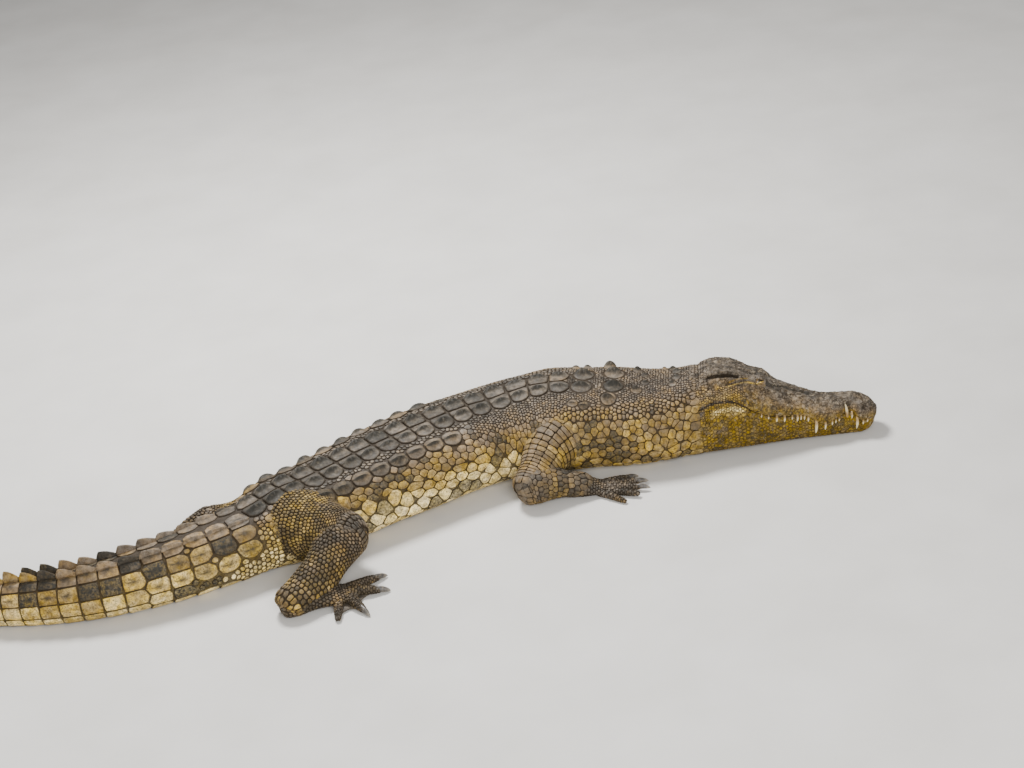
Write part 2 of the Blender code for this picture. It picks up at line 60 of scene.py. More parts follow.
# --- Driving sizes, in metres, as in the solids ---
SKULL = 0.50  # snout tip to the back of the skull table
LENGTH = 3.60  # snout tip to tail tip, along the back
TRUNK_START, TAIL_START = 0.93, 2.06
MM = 1000  # millimetres in a metre
SNOUT_ROUND = 0.006  # how far the tips of the snout and tail are rounded
TIP_HEIGHTS = (0.142 * SKULL, 0.015)  # heights of the middles of those tips
NECK_BLEND = (0.94 * SKULL, 1.30 * SKULL)  # where the head's shape passes into the neck's
FACE_END, NAPE_END = 0.62, 0.80  # how far back the face's paint and its relief reach
COAT = (0.52, 0.60)  # where bare hide passes into plates
LIMB_BLEND = 0.070  # how near a limb the hide starts to rise to it
DIGIT_RISE = 0.85  # height of a digit's middle over the floor, in radii
WHORLS = 32  # rings of plates along the tail
# The spine's heading in degrees at distances behind the snout tip.
HEADINGS = (
    (0.0, -7), (0.62, -7), (0.91, -8), (1.25, 18), (1.62, 31),
    (1.94, 33), (2.31, 18), (2.78, -9), (3.60, -22),
)
HEAD_TILT = 10.0  # degrees that the head leans onto its left side
TWIST = (0.42, 0.80)  # where the lean fades out along the neck

# The body behind the skull: distance, half width, back height, height of the widest line.
BODY = (
    (0.51, 0.167, 0.222, 0.084), (0.66, 0.188, 0.224, 0.084), (0.83, 0.194, 0.242, 0.088),
    (0.99, 0.194, 0.246, 0.090), (1.22, 0.198, 0.224, 0.090), (1.48, 0.202, 0.214, 0.086),
    (1.70, 0.186, 0.207, 0.086), (1.87, 0.155, 0.201, 0.088), (2.01, 0.126, 0.193, 0.084),
    (2.25, 0.102, 0.180, 0.080), (2.57, 0.078, 0.150, 0.066), (2.99, 0.047, 0.108, 0.047),
    (3.31, 0.028, 0.074, 0.032), (3.60, 0.008, 0.030, 0.013),
)
BODY_SINK = 0.012  # how far the outline reaches under the floor
# How boxed the outline is along the body: 1 is an ellipse, and less is squarer.
BODY_BOX = ((0.50, 0.82), (1.48, 0.78), (2.01, 0.86), (2.54, 0.92), (3.60, 0.96))
# The tail's crest: distance, how far each of its two rows stands from the middle, height.
CREST = (
    (2.06, 0.050, 0.007), (2.28, 0.038, 0.016), (2.60, 0.020, 0.030), (2.78, 0.003, 0.036),
    (3.02, 0.0015, 0.036), (3.34, 0.0015, 0.026), (3.60, 0.0015, 0.010),
)
CREST_MERGE = 2.71  # where the two rows become one

# The head, in thousandths of the skull's length: distance, then across and up of each line of the
# face: top (up only), ridge, temple, cheek, lip, jaw and sole (up only).
HEAD = (
    (   0, 160,  28, 155,  46, 145,  54, 130,  40, 112,  30,  98,  12,  82),
    (  15, 182,  44, 176,  68, 164,  78, 143,  64, 102,  48,  78,  28,  48),
    (  45, 206,  56, 198,  85, 183, 102, 147,  92,  93,  74,  61,  44,  16),
    (  95, 232,  60, 219,  94, 195, 114, 151, 106,  87,  90,  55,  56,   0),
    ( 165, 254,  56, 232,  80, 201,  88, 174,  82, 145,  96,  72,  61,   0),
    ( 240, 257,  58, 234,  98, 190, 128, 152, 124, 114, 108,  60,  68,   0),
    ( 335, 264,  60, 243, 116, 198, 156, 155, 154, 104, 130,  56,  80,   0),
    ( 445, 298,  63, 275, 120, 226, 157, 196, 154, 166, 146,  92,  92,   0),
    ( 525, 332,  68, 310, 128, 256, 176, 216, 173, 174, 166,  94, 104,   0),
    ( 610, 360,  76, 356, 137, 292, 198, 242, 196, 184, 192,  92, 122,   0),
    ( 700, 380,  98, 412, 146, 346, 218, 268, 219, 216, 218, 100, 142,   0),
    ( 780, 424, 116, 442, 164, 380, 235, 305, 239, 258, 238, 116, 159,   0),
    ( 900, 478, 134, 488, 181, 414, 257, 326, 261, 280, 264, 128, 181,   0),
    (1000, 498, 142, 492, 196, 408, 274, 312, 279, 266, 283, 130, 198,   0),
    (1100, 500, 150, 472, 220, 388, 283, 296, 292, 256, 294, 132, 205,   0),
)
EYE_AT = (0.715, 0.1025, 0.398)  # in skull lengths: behind the snout tip, across, up
# Teeth that show with the mouth shut: distance in skull lengths, length and radius in millimetres.
UPPER_TEETH = (
    (0.055, 9, 2.6), (0.082, 12, 3.0), (0.118, 30, 4.8), (0.148, 14, 3.0), (0.228, 9, 2.6),
    (0.250, 10, 2.8), (0.272, 12, 3.0), (0.315, 20, 3.8), (0.370, 34, 5.4), (0.417, 14, 3.4),
    (0.440, 12, 3.0), (0.461, 13, 3.2), (0.483, 17, 3.6), (0.515, 10, 2.8), (0.562, 15, 4.0),
    (0.610, 13, 3.8), (0.660, 8, 2.6), (0.702, 8, 2.4),
)
LOWER_TEETH = ((0.178, 33, 4.6),)
JAW_INSET = 0.006  # how far inside the lip the upper teeth are rooted
TOOTH_CLEARANCE = 0.0025  # between a tooth and the other jaw

# Limbs: distance behind the snout, across, up, half width, half height.
UPPER_ARM = (
    (0.93, 0.115, 0.122, 0.066, 0.070), (1.00, 0.185, 0.116, 0.060, 0.066),
    (1.08, 0.250, 0.088, 0.050, 0.054), (1.155, 0.292, 0.062, 0.042, 0.045),
)
FOREARM = (
    (1.170, 0.298, 0.053, 0.042, 0.046), (1.10, 0.300, 0.058, 0.047, 0.051),
    (0.99, 0.288, 0.050, 0.041, 0.044), (0.905, 0.270, 0.035, 0.032, 0.031),
)
HAND = (
    (0.925, 0.272, 0.026, 0.027, 0.022), (0.865, 0.268, 0.018, 0.036, 0.018),
    (0.815, 0.270, 0.011, 0.038, 0.012),
)
THIGH = (
    (1.930, 0.080, 0.112, 0.092, 0.088), (1.905, 0.155, 0.124, 0.086, 0.082),
    (1.878, 0.215, 0.130, 0.068, 0.066), (1.865, 0.250, 0.128, 0.052, 0.054),
)
SHANK = (
    (1.868, 0.262, 0.116, 0.048, 0.051), (1.925, 0.276, 0.100, 0.055, 0.055),
    (2.000, 0.296, 0.072, 0.052, 0.052), (2.080, 0.316, 0.042, 0.040, 0.038),
)
FOOT = (
    (2.105, 0.322, 0.029, 0.031, 0.028), (2.05, 0.334, 0.028, 0.036, 0.027),
    (1.99, 0.356, 0.020, 0.043, 0.019), (1.94, 0.376, 0.013, 0.046, 0.013),
)
TUCK_ABOUT, TUCK_SQUEEZE, TUCK_IN = 1.02, 0.68, 0.022  # how the left arm is drawn in
THIGH_BACK = (
    (1.930, 0.075, 0.098, 0.084, 0.076), (1.975, 0.125, 0.080, 0.070, 0.060),
    (2.030, 0.160, 0.066, 0.056, 0.050), (2.085, 0.184, 0.056, 0.048, 0.045),
)
SHANK_BACK = (
    (2.095, 0.198, 0.058, 0.046, 0.046), (2.150, 0.198, 0.054, 0.048, 0.046),
    (2.220, 0.192, 0.045, 0.040, 0.038), (2.295, 0.184, 0.034, 0.031, 0.030),
)
FOOT_BACK = (
    (2.310, 0.182, 0.028, 0.028, 0.026), (2.360, 0.178, 0.024, 0.034, 0.023),
    (2.420, 0.178, 0.018, 0.041, 0.018), (2.475, 0.180, 0.013, 0.045, 0.013),
)
# Digits: where each leaves the palm and where it ends (distance, across), radius, and if clawed.
FINGERS = (
    (0.840, 0.246, 0.770, 0.214, 0.0120, True), (0.828, 0.257, 0.742, 0.243, 0.0125, True),
    (0.822, 0.270, 0.736, 0.278, 0.0125, True), (0.828, 0.284, 0.738, 0.314, 0.0105, False),
    (0.842, 0.297, 0.776, 0.346, 0.0095, False),
)
TOES = (
    (1.950, 0.350, 1.848, 0.360, 0.0140, True), (1.948, 0.372, 1.880, 0.416, 0.0145, True),
    (1.965, 0.390, 1.965, 0.466, 0.0140, True), (1.995, 0.388, 2.030, 0.452, 0.0115, False),
)
TOES_BACK = (
    (2.468, 0.150, 2.556, 0.138, 0.0140, True), (2.474, 0.168, 2.590, 0.172, 0.0145, True),
    (2.474, 0.188, 2.590, 0.208, 0.0140, True), (2.464, 0.208, 2.556, 0.246, 0.0115, False),
)
CLAW_LENGTH = 0.036

# --- Sculpting of the head ---
# On the face's own lines: w is 0.25 on the ridge, 0.5 temple, 0.75 cheek and 1 on the lip.
# Path of (distance in skull lengths, w), half width and height in millimetres.
HEAD_LINES = (
    (((-0.02, 1.0), (0.30, 1.0), (0.60, 1.0), (0.765, 1.0)), 1.7, -5.0),  # closed mouth
    (((0.765, 1.0), (0.80, 0.90), (0.855, 0.775), (0.92, 0.715), (1.00, 0.68), (1.075, 0.69)),
     3.4, -6.5),
    (((0.765, 1.0), (0.83, 1.045), (0.93, 1.05), (1.01, 0.93), (1.06, 0.80)), 2.0, -3.2),
    (((0.775, 0.97), (0.755, 0.87), (0.75, 0.787), (0.77, 0.70), (0.79, 0.617)), 2.2, -2.4),
    (((0.66, 0.56), (0.76, 0.53), (0.85, 0.56), (0.955, 0.575), (1.03, 0.58), (1.10, 0.62)),
     9.0, 5.0),
    (((0.835, 0.345), (0.88, 0.355), (0.92, 0.355), (0.97, 0.345), (1.015, 0.310)),
     6.0, -11.0),  # ear slit
    (((0.80, 0.285), (0.88, 0.265), (0.94, 0.255), (1.00, 0.235)), 5.0, 4.0),  # table edge over it
    (((0.80, 0.41), (0.88, 0.415), (0.97, 0.41)), 5.0, 1.8),  # flap below the ear
    (((0.655, 0.33), (0.60, 0.22), (0.565, 0.145), (0.49, 0.135), (0.41, 0.12), (0.36, 0.16)),
     3.6, 2.2),
    (((0.655, 0.36), (0.60, 0.255), (0.56, 0.185), (0.49, 0.175), (0.41, 0.16), (0.36, 0.20)),
     2.4, -2.8),
    (((0.768, 0.345), (0.80, 0.39), (0.83, 0.435), (0.865, 0.475), (0.90, 0.51)),
     1.7, -3.0),  # lid's fold
    (((0.74, 0.405), (0.79, 0.43), (0.83, 0.475), (0.87, 0.515)), 1.9, 1.6),
    (((0.66, 0.40), (0.70, 0.45), (0.75, 0.46)), 3.0, -1.6),
    (((0.655, 0.20), (0.70, 0.20), (0.77, 0.225)), 6.0, 2.5),  # rim of the eye socket
    (((1.07, 0.0), (1.07, 0.16), (1.08, 0.30), (1.12, 0.44), (1.15, 0.60)), 8.0, -4.5),  # nape
    (((1.085, 0.70), (1.12, 0.90), (1.11, 1.10), (1.07, 1.28)), 7.0, -4.5),  # behind the jaw
    (((0.83, 1.08), (0.878, 1.137), (0.902, 1.268)), 1.8, -1.6),
    (((0.905, 0.0), (0.93, 0.07), (0.97, 0.10)), 2.6, -2.2),
    (((0.105, 0.0), (0.105, 0.20)), 5.0, -1.2),
    (((0.085, 0.075), (0.105, 0.125), (0.125, 0.120)), 2.0, -5.0),  # nostril
    (((1.16, 1.20), (1.18, 1.50), (1.17, 2.0)), 6.0, -3.5),  # folds of the throat
    (((1.30, 1.10), (1.34, 1.50), (1.32, 2.0)), 7.0, -4.0),
    (((1.47, 1.00), (1.50, 1.50), (1.48, 2.0)), 8.0, -4.0),
)
# Centre (distance in skull lengths, w), radii in millimetres along and round, height.
HEAD_BUMPS = (
    ((0.105, 0.06), 19, 20, 4.0),  # disc of the nostrils
    ((0.30, 0.62), 26, 14, 2.0), ((0.36, 0.84), 20, 11, 2.8), ((0.235, 0.84), 13, 9, 2.0),
    ((0.11, 0.82), 17, 11, 2.4), ((0.53, 0.83), 22, 10, 2.0), ((0.62, 0.80), 20, 11, 2.0),
    ((0.45, 0.84), 16, 9, 1.6), ((0.61, 0.60), 18, 9, 2.0), ((0.445, 0.42), 24, 9, 1.4),
    ((0.42, 0.03), 30, 12, 1.2), ((0.56, 0.05), 16, 12, 1.4), ((0.70, 0.00), 24, 16, -3.0),
    ((0.90, 0.00), 30, 18, -1.5), ((0.92, 0.88), 44, 16, 5.0),  # jaw muscle
    ((1.00, 0.17), 13, 13, 3.5), ((1.02, 0.63), 18, 12, 3.0), ((0.87, 0.48), 30, 7, -1.6),
    ((0.99, 1.14), 32, 20, 2.0), ((0.20, 0.42), 20, 10, -1.8), ((0.95, 1.27), 22, 18, 2.0),
    ((0.66, 0.62), 14, 8, -1.6), ((0.50, 0.55), 26, 7, -1.2), ((0.168, 0.66), 8, 18, -2.4),
)
# Lines of colour on the face: path, half width in millimetres, tint, share of charcoal; some are
# painted shade.
FACE_PAINT = (
    (((0.672, 0.375), (0.72, 0.41), (0.77, 0.40), (0.81, 0.435), (0.85, 0.485), (0.895, 0.53)),
     2.5, 0.82, 0.0),
    (((0.77, 0.325), (0.81, 0.365), (0.85, 0.42), (0.89, 0.475)), 1.7, 0.66, 0.0),
    # Painted shade in the lid's fold behind the eye.
    (((0.768, 0.36), (0.80, 0.405), (0.84, 0.455), (0.885, 0.505)), 1.5, 0.10, 0.75),
    (((0.655, 0.345), (0.60, 0.25), (0.56, 0.18), (0.49, 0.165), (0.41, 0.15)), 7.0, 0.02, 0.80),
    # Painted shade in the ear slit, under the edge of the skull table.
    (((0.83, 0.345), (0.92, 0.352), (1.01, 0.312)), 7.5, 0.02, 0.90),
    # Painted shade in the fold over the jaw's hinge, under the cheek bar.
    (((0.80, 0.90), (0.855, 0.775), (0.92, 0.715), (1.00, 0.68), (1.075, 0.69)), 3.6, 0.10, 0.75),
    (((0.83, 1.00), (0.90, 0.965), (0.98, 0.93)),
     19.0, 1.00, 0.0),  # pale beads over the jaw's hinge
    (((0.93, 1.26), (0.98, 1.27)), 9.0, 0.30, 0.55),
    (((0.99, 0.02), (1.01, -0.06)), 5.0, 0.02, 0.6),
    (((1.06, 0.78), (1.09, 0.84), (1.10, 0.92)), 9.0, 0.05, 0.60),
)

# --- Curves ---


def knot_slopes(steps):
    """Slopes at the knots of a monotone curve: the harmonic mean of the steps' slopes on either
    side where they agree in sign, zero where they don't, and the end steps' own at the ends."""
    before, after = steps[..., :-1], steps[..., 1:]
    total = before + after
    mean = 2 * before * after / np.where(total == 0, 1, total)
    inner = np.where(before * after > 0, mean, 0.0)
    return np.concatenate([steps[..., :1], inner, steps[..., -1:]], axis=-1)


def smooth(x, xs, ys):
    """Monotone cubic curve through (xs, ys) at x; ys may hold several curves."""
    xs, ys = np.asarray(xs, float), np.asarray(ys, float)
    step = np.diff(xs)
    slope = knot_slopes(np.diff(ys, axis=-1) / step)
    x = np.clip(x, xs[0], xs[-1])
    i = np.clip(np.searchsorted(xs, x, side="right") - 1, 0, len(step) - 1)
    t = (x - xs[i]) / step[i]
    return hermite(t, step[i], ys[..., i], ys[..., i + 1], slope[..., i], slope[..., i + 1])


def hermite(t, step, start, end, leaving, arriving):
    """Cubic from start to end over a step, with the slopes it leaves and arrives with."""
    rest = 1 - t
    return (
        start + (end - start) * t * t * (3 - 2 * t)
        + step * t * rest * (rest * leaving - t * arriving)
    )


def through(t, knots):
    """Monotone cubic through evenly spaced knots, with a row of knots for each t."""
    slope = knot_slopes(np.diff(knots, axis=-1))
    i = np.clip(np.floor(t).astype(int), 0, knots.shape[1] - 2)
    row = np.arange(len(t))
    return hermite(t - i, 1.0, knots[row, i], knots[row, i + 1], slope[row, i], slope[row, i + 1])


def ramp(x, low, high):
    """0 below low, 1 above high, and an S curve between."""
    t = np.clip((x - low) / (high - low), 0.0, 1.0)
    return t * t * (3 - 2 * t)


def hill(x, centre, width):
    """1 at the centre, falling off as a bell curve."""
    return np.exp(-(((x - centre) / width) ** 2))


def unit(vectors):
    """Vectors divided by their lengths."""
    return vectors / np.maximum(np.linalg.norm(vectors, axis=-1, keepdims=True), 1e-12)


def running(steps, axis=0):
    """Running totals along an axis, from zero."""
    total = np.cumsum(steps, axis=axis)
    return np.concatenate([np.zeros_like(np.take(total, [0], axis)), total], axis=axis)


def circle(count):
    """Even angles once round, as a row."""
    return np.linspace(0, 2 * np.pi, count, endpoint=False)[None, :]


def grid_of(rows, columns):
    """Two parameters at every crossing of a grid."""
    return np.meshgrid(rows, columns, indexing="ij")


def pairs_of(x, y):
    """Places on the map from two arrays of shapes that fit each other."""
    return np.stack(np.broadcast_arrays(x, y), axis=-1)


def hashed(cells, seed):
    """A repeatable value from 0 to 1 for each cell of whole-number corners."""
    mixed = cells[..., 0] * 73856093 ^ cells[..., 1] * 19349663 ^ cells[..., 2] * 83492791
    mixed = mixed ^ seed * 668265263
    mixed = (mixed ^ (mixed >> 13)) * 1274126177 & 0x7FFFFFFF
    return ((mixed ^ (mixed >> 15)) & 0xFFFF) / 65535


def noise(points, cell, seed):
    """Value noise from -1 to 1: each cell's corners have hashed values, blended by S curves."""
    spot = points / cell
    low = np.floor(spot)
    t = spot - low
    t = t * t * (3 - 2 * t)
    low = low.astype(np.int64)
    total = np.zeros(points.shape[:-1])
    for corner in np.ndindex(2, 2, 2):
        total += np.prod(np.where(corner, t, 1 - t), axis=-1) * hashed(low + corner, seed)
    return 2 * total - 1


def cracks(points, cell, seed):
    """0 on the borders between cells grown from scattered seeds, rising to about 1 inside them."""
    spot = points / cell
    low = np.floor(spot).astype(np.int64)
    near = np.full(points.shape[:-1], 9.0)
    far = near.copy()
    for corner in np.ndindex(3, 3, 3):
        at = low + corner - 1
        seeds = at + np.stack([hashed(at, seed + k) for k in range(3)], axis=-1)
        gap = np.linalg.norm(spot - seeds, axis=-1)
        far = np.minimum(far, np.maximum(gap, near))
        near = np.minimum(near, gap)
    return np.minimum((far - near) * 1.6, 1.0)


# --- The body's own coordinates ---


def spine_table(count=1701):
    """Distances along the spine, with the point and heading at each, by adding up short steps."""
    s = np.linspace(0, LENGTH, count)
    turn = np.radians(smooth(s, *zip(*HEADINGS)))
    back = -np.stack([np.cos(turn), np.sin(turn)], axis=1)
    steps = (back[1:] + back[:-1]) / 2 * (s[1] - s[0])
    return s, running(steps), turn


SPINE = spine_table()


def lay(s, across, up):
    """Point at a distance along the spine, across to the left and above the floor, snout at zero.

    The head is tilted about the spine onto its left side, and the neck twists back to level."""
    table, points, turn = SPINE
    x, y, heading = (np.interp(s, table, v) for v in (points[:, 0], points[:, 1], turn))
    tilt = np.radians(HEAD_TILT) * (1 - ramp(s, *TWIST))
    side = across * np.cos(tilt) + up * np.sin(tilt)
    rise = up * np.cos(tilt) - across * np.sin(tilt)
    ahead, beside = x - np.sin(heading) * side, y + np.cos(heading) * side
    return np.stack(np.broadcast_arrays(ahead, beside, rise), axis=-1)


# The frame stands centred on the origin: its right eye says where.
EYES = {name: np.array(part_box(name)).reshape(2, 3) for name in ("eye_right", "eye_left")}
EYE_RADIUS = float(np.ptp(EYES["eye_right"], axis=0)[0]) / 2
SHIFT = EYES["eye_right"].mean(axis=0) - lay(*(np.array(EYE_AT) * (1, -1, 1) * SKULL))


def grounded(points):
    """The same points, none of them below the floor."""
    points[..., 2] = np.maximum(points[..., 2], 0.0)
    return points


def place(s, across, up):
    """The same point in the frame, never below the floor."""
    return grounded(lay(s, across, up) + SHIFT)


def body_shape(s):
    """Half width, height of the back and of the widest line, and how boxed the outline is."""
    rows = np.array(BODY).T
    return (*smooth(s, rows[0], rows[1:]), smooth(s, *zip(*BODY_BOX)))


def body_half(s, w):
    """Across and up of the body's outline, a boxed ellipse above and below its widest line."""
    wide, high, waist, power = body_shape(s)
    angle = np.pi / 2 * (1 - w)
    rise = np.where(angle >= 0, high - waist, waist + BODY_SINK)
    across = wide * np.abs(np.cos(angle)) ** power
    up = waist + rise * np.sign(angle) * np.abs(np.sin(angle)) ** power
    return np.array([across, np.maximum(up, 0.0)])


def head_half(s, w):
    """Across and up of the head's outline: smooth curves through the lines of the face."""
    rows = np.array(HEAD).T / 1000
    row = smooth(s / SKULL, rows[0], rows[1:]) * SKULL
    zero = np.zeros_like(row[0])
    crown = ((zero, *row[1:8:2]), (row[0], *row[2:9:2]))
    sole = ((*row[7:12:2], zero), (*row[8:13:2], row[12]))
    above = np.array([through(w * 4, np.stack(k, axis=1)) for k in crown])
    below = np.array([through((w - 1) * 3, np.stack(k, axis=1)) for k in sole])
    return np.where(w <= 1, above, below)


def outline(s, w):
    """The whole animal's half outline, with the head's shape passing into the neck's."""
    across_up = body_half(s, w)
    share = ramp(s, *NECK_BLEND)
    head = share < 1
    blend = share[head]
    across_up[:, head] = (1 - blend) * head_half(s[head], w[head]) + blend * across_up[:, head]
    return across_up


def arc_tables(stations=361, around=161):
    """For even stations, where w is at each even share of the arc, and both arcs' lengths."""
    s, w = np.linspace(0, LENGTH, stations), np.linspace(0, 2, around)
    grid_s, grid_w = (g.ravel() for g in grid_of(s, w))
    points = outline(grid_s, grid_w).reshape(2, stations, around)
    arc = running(np.hypot(*np.diff(points, axis=2)), axis=1)
    middle = around // 2
    upper, whole = arc[:, middle, None], arc[:, -1:]
    below = 1 + (arc - upper) / (whole - upper)
    share = np.where(np.arange(around) <= middle, arc / upper, below)
    table = np.array([np.interp(w, row, w) for row in share])
    return s, table, upper[:, 0], (whole - upper)[:, 0]


ARC_S, ARC_W, ARC_UPPER, ARC_LOWER = arc_tables()


def upper_arc(s):
    """Length in metres of the half turn from the back to the widest line."""
    return np.interp(s, ARC_S, ARC_UPPER)


def turn_at(s, v):
    """The outline's w where v is an even share of the arc, read between the table's entries."""
    rows, columns = ARC_W.shape
    row = np.clip(s / LENGTH * (rows - 1), 0, rows - 1.001)
    column = np.clip(np.abs(v) / 2 * (columns - 1), 0, columns - 1.001)
    i, j = row.astype(int), column.astype(int)
    a, b = row - i, column - j
    low = ARC_W[i, j] * (1 - b) + ARC_W[i, j + 1] * b
    high = ARC_W[i + 1, j] * (1 - b) + ARC_W[i + 1, j + 1] * b
    return low * (1 - a) + high * a


def near_line(x, y, path):
    """Distance from each point to a line through the path's points, in the plane."""
    best = np.full(x.shape, 1e9)
    for (ax, ay), (bx, by) in zip(path, path[1:]):
        dx, dy = bx - ax, by - ay
        t = np.clip(((x - ax) * dx + (y - ay) * dy) / (dx * dx + dy * dy), 0, 1)
        best = np.minimum(best, np.hypot(x - ax - t * dx, y - ay - t * dy))
    return best


def face_turn(along):
    """Length in millimetres of the half turn to the lip, at a distance in skull lengths."""
    return MM * upper_arc(along * SKULL)


def face_line(x, w, path, width):
    """A line's share at x millimetres behind the snout and w round the face: a bell across it."""
    size = face_turn(np.mean([p[0] for p in path]))
    spots = [(a * SKULL * MM, b * size) for a, b in path]
    return hill(near_line(x, w * size, spots), 0, width)


def face_dome(x, w, along, turn, wide, tall):
    """A dome's share: a bell both along and round the face, with radii in millimetres."""
    gap = (w - turn) * face_turn(along)
    return np.exp(-(((x - along * SKULL * MM) / wide) ** 2) - ((gap / tall) ** 2))


def painted(u, v, tint, dark):
    """Tint, darkness and share of olive gold: gold on the jaws, then the face's lines over all,
    painted shade among them.
    """
    tint, dark = tint.copy(), dark.copy()
    turn = np.abs(v)
    olive = 0.62 * ramp(turn, 0.70, 0.92) + 0.38 * ramp(turn, 0.95, 1.03)
    olive = olive * (1 - ramp(u, 0.49, 0.60)) * (1 - 0.4 * ramp(turn, 1.5, 1.9))
    face = np.flatnonzero(u < FACE_END)
    s = np.maximum(u[face], 0)
    w = turn_at(s, v[face])
    for path, width, paint, black in FACE_PAINT:
        share = face_line(s * MM, w, path, width)
        tint[face] += share * (paint - tint[face])
        dark[face] = np.maximum(dark[face] * (1 - share), black * share)
        olive[face] *= 1 - share
    return tint, dark, olive


def face_relief(s, w):
    """Folds, ridges, slits and swellings of the head: bell-shaped beads along lines, and domes,
    with one more over the root of each tooth."""
    x = s * MM
    high = np.zeros_like(s)
    for path, width, height in HEAD_LINES:
        high += height * face_line(x, w, path, width)
    for (along, turn), wide, tall, height in HEAD_BUMPS:
        high += height * face_dome(x, w, along, turn, wide, tall)
    for turn, table in ((0.93, UPPER_TEETH), (1.07, LOWER_TEETH)):
        for along, _, radius in table:
            high += 0.5 * radius * face_dome(x, w, along, turn, 2.0 * radius, 6.0)
    return high / MM


# --- Surfaces: the body and the tubes of the limbs ---


class Surface:
    """Hide over a part of the body: base gives a point for each u along it and v round it."""

    steps = (0.0015, 0.006)

    def differences(self, u, v):
        """How far the point moves over a short step to either side, along and round."""
        du, dv = self.steps
        along = self.base(u + du, v) - self.base(u - du, v)
        around = self.base(u, v + dv) - self.base(u, v - dv)
        return along, around

    def normal(self, u, v):
        """Outward direction, across both differences."""
        along, around = self.differences(u, v)
        return unit(np.cross(around, along))

    def tangents(self, u, v):
        """How fast the point moves with u and with v."""
        return tuple(off / (2 * step) for off, step in zip(self.differences(u, v), self.steps))

    def points(self, u, v, height=0.0):
        """The hide itself, or a height over it: base moved along its normal by the relief."""
        base = self.base(u, v)
        return grounded(base + self.normal(u, v) * (self.relief(u, v, base) + height)[..., None])

    def close(self, points, reach):
        """Which points may lie within reach: all, unless a surface knows better."""
        return np.ones(len(points), bool)

    def fillet(self, points, reach):
        """How far another surface is lifted where it comes near this one, so that they meet softly:
        the square of what the gap leaves of the reach, over four times the reach."""
        flat = points.reshape(-1, 3)
        lift = np.zeros(len(flat))
        near = self.close(flat, reach)
        away = np.abs(self.gap(flat[near]))
        lift[near] = np.maximum(reach - away, 0) ** 2 / (4 * reach)
        return lift.reshape(points.shape[:-1])


class Body(Surface):
    """Head, neck, trunk and tail as one swept surface."""

    limbs = ()

    def base(self, u, v):
        """The outline laid along the spine, and past either end shrunk as a circle to its tip."""
        v = (v + 2) % 4 - 2
        s = np.clip(u, 0, LENGTH)
        across, up = outline(s, turn_at(s, v))
        past = np.where(u < 0, u, u - s)
        size = np.sqrt(np.clip(1 - (past / SNOUT_ROUND) ** 2, 0.0, 1))
        size = np.where(past == 0, 1, size)
        middle = np.where(u < SKULL, *TIP_HEIGHTS)
        up = middle + (up - middle) * size
        across = across * size
        spot = place(s, np.sign(v) * across, up)
        heading = np.interp(s, SPINE[0], SPINE[2])
        spot[..., 0] -= past * np.cos(heading)
        spot[..., 1] -= past * np.sin(heading)
        return spot

    def depth(self, u, v):
        """How deep the hide lies under the plates: hardly on the face, and more on the trunk."""
        return 0.0010 + 0.0026 * ramp(u, 0.50, 0.68) - 0.0016 * ramp(u, 2.4, 3.5)

    def relief(self, u, v, base):
        """The face's relief, a slow unevenness of the trunk, the shoulder's bulge, the fold along
        the flank, and a soft rise to each limb."""
        s = np.maximum(u, 0)
        w = turn_at(np.clip(s, 0, LENGTH), v)
        high = -self.depth(u, v)
        head = s < NAPE_END
        high[head] += face_relief(s[head], w[head])
        trunk = ramp(u, 0.60, 0.9)
        high += 0.0026 * trunk * noise(base, 0.11, 3) * (1 - ramp(u, 2.1, 3.0))
        high += 0.006 * hill(u, 0.93, 0.09) * hill(np.abs(v), 0.92, 0.22)
        high -= 0.004 * trunk * hill(np.abs(v), 1.30, 0.05) * (1 - ramp(u, 1.85, 2.0))
        for limb in self.limbs:
            high += limb.fillet(base, LIMB_BLEND)
        return high

    def gap(self, points):
        """About how far points lie outside the body: its boxed ellipse, scaled to reach them."""
        table, spots, turn = SPINE
        flat = points[:, :2] - SHIFT[:2]
        coarse = np.arange(250, 1300, 12)  # of the spine's entries, from the nape to mid tail
        near = coarse[np.argmin(np.linalg.norm(flat[:, None] - spots[coarse], axis=-1), axis=1)]
        forward = np.stack([np.cos(turn[near]), np.sin(turn[near])], axis=1)
        off = flat - spots[near]
        s = table[near] - (off * forward).sum(axis=1)
        across = np.abs(off[:, 1] * forward[:, 0] - off[:, 0] * forward[:, 1])
        wide, high, waist, power = body_shape(s)
        rise = np.where(points[:, 2] > waist, high - waist, waist + BODY_SINK)
        tall = np.abs(points[:, 2] - waist)
        reach = ((across / wide) ** (2 / power) + (tall / rise) ** (2 / power)) ** (power / 2)
        return (1 - 1 / np.maximum(reach, 0.2)) * np.hypot(across, tall)


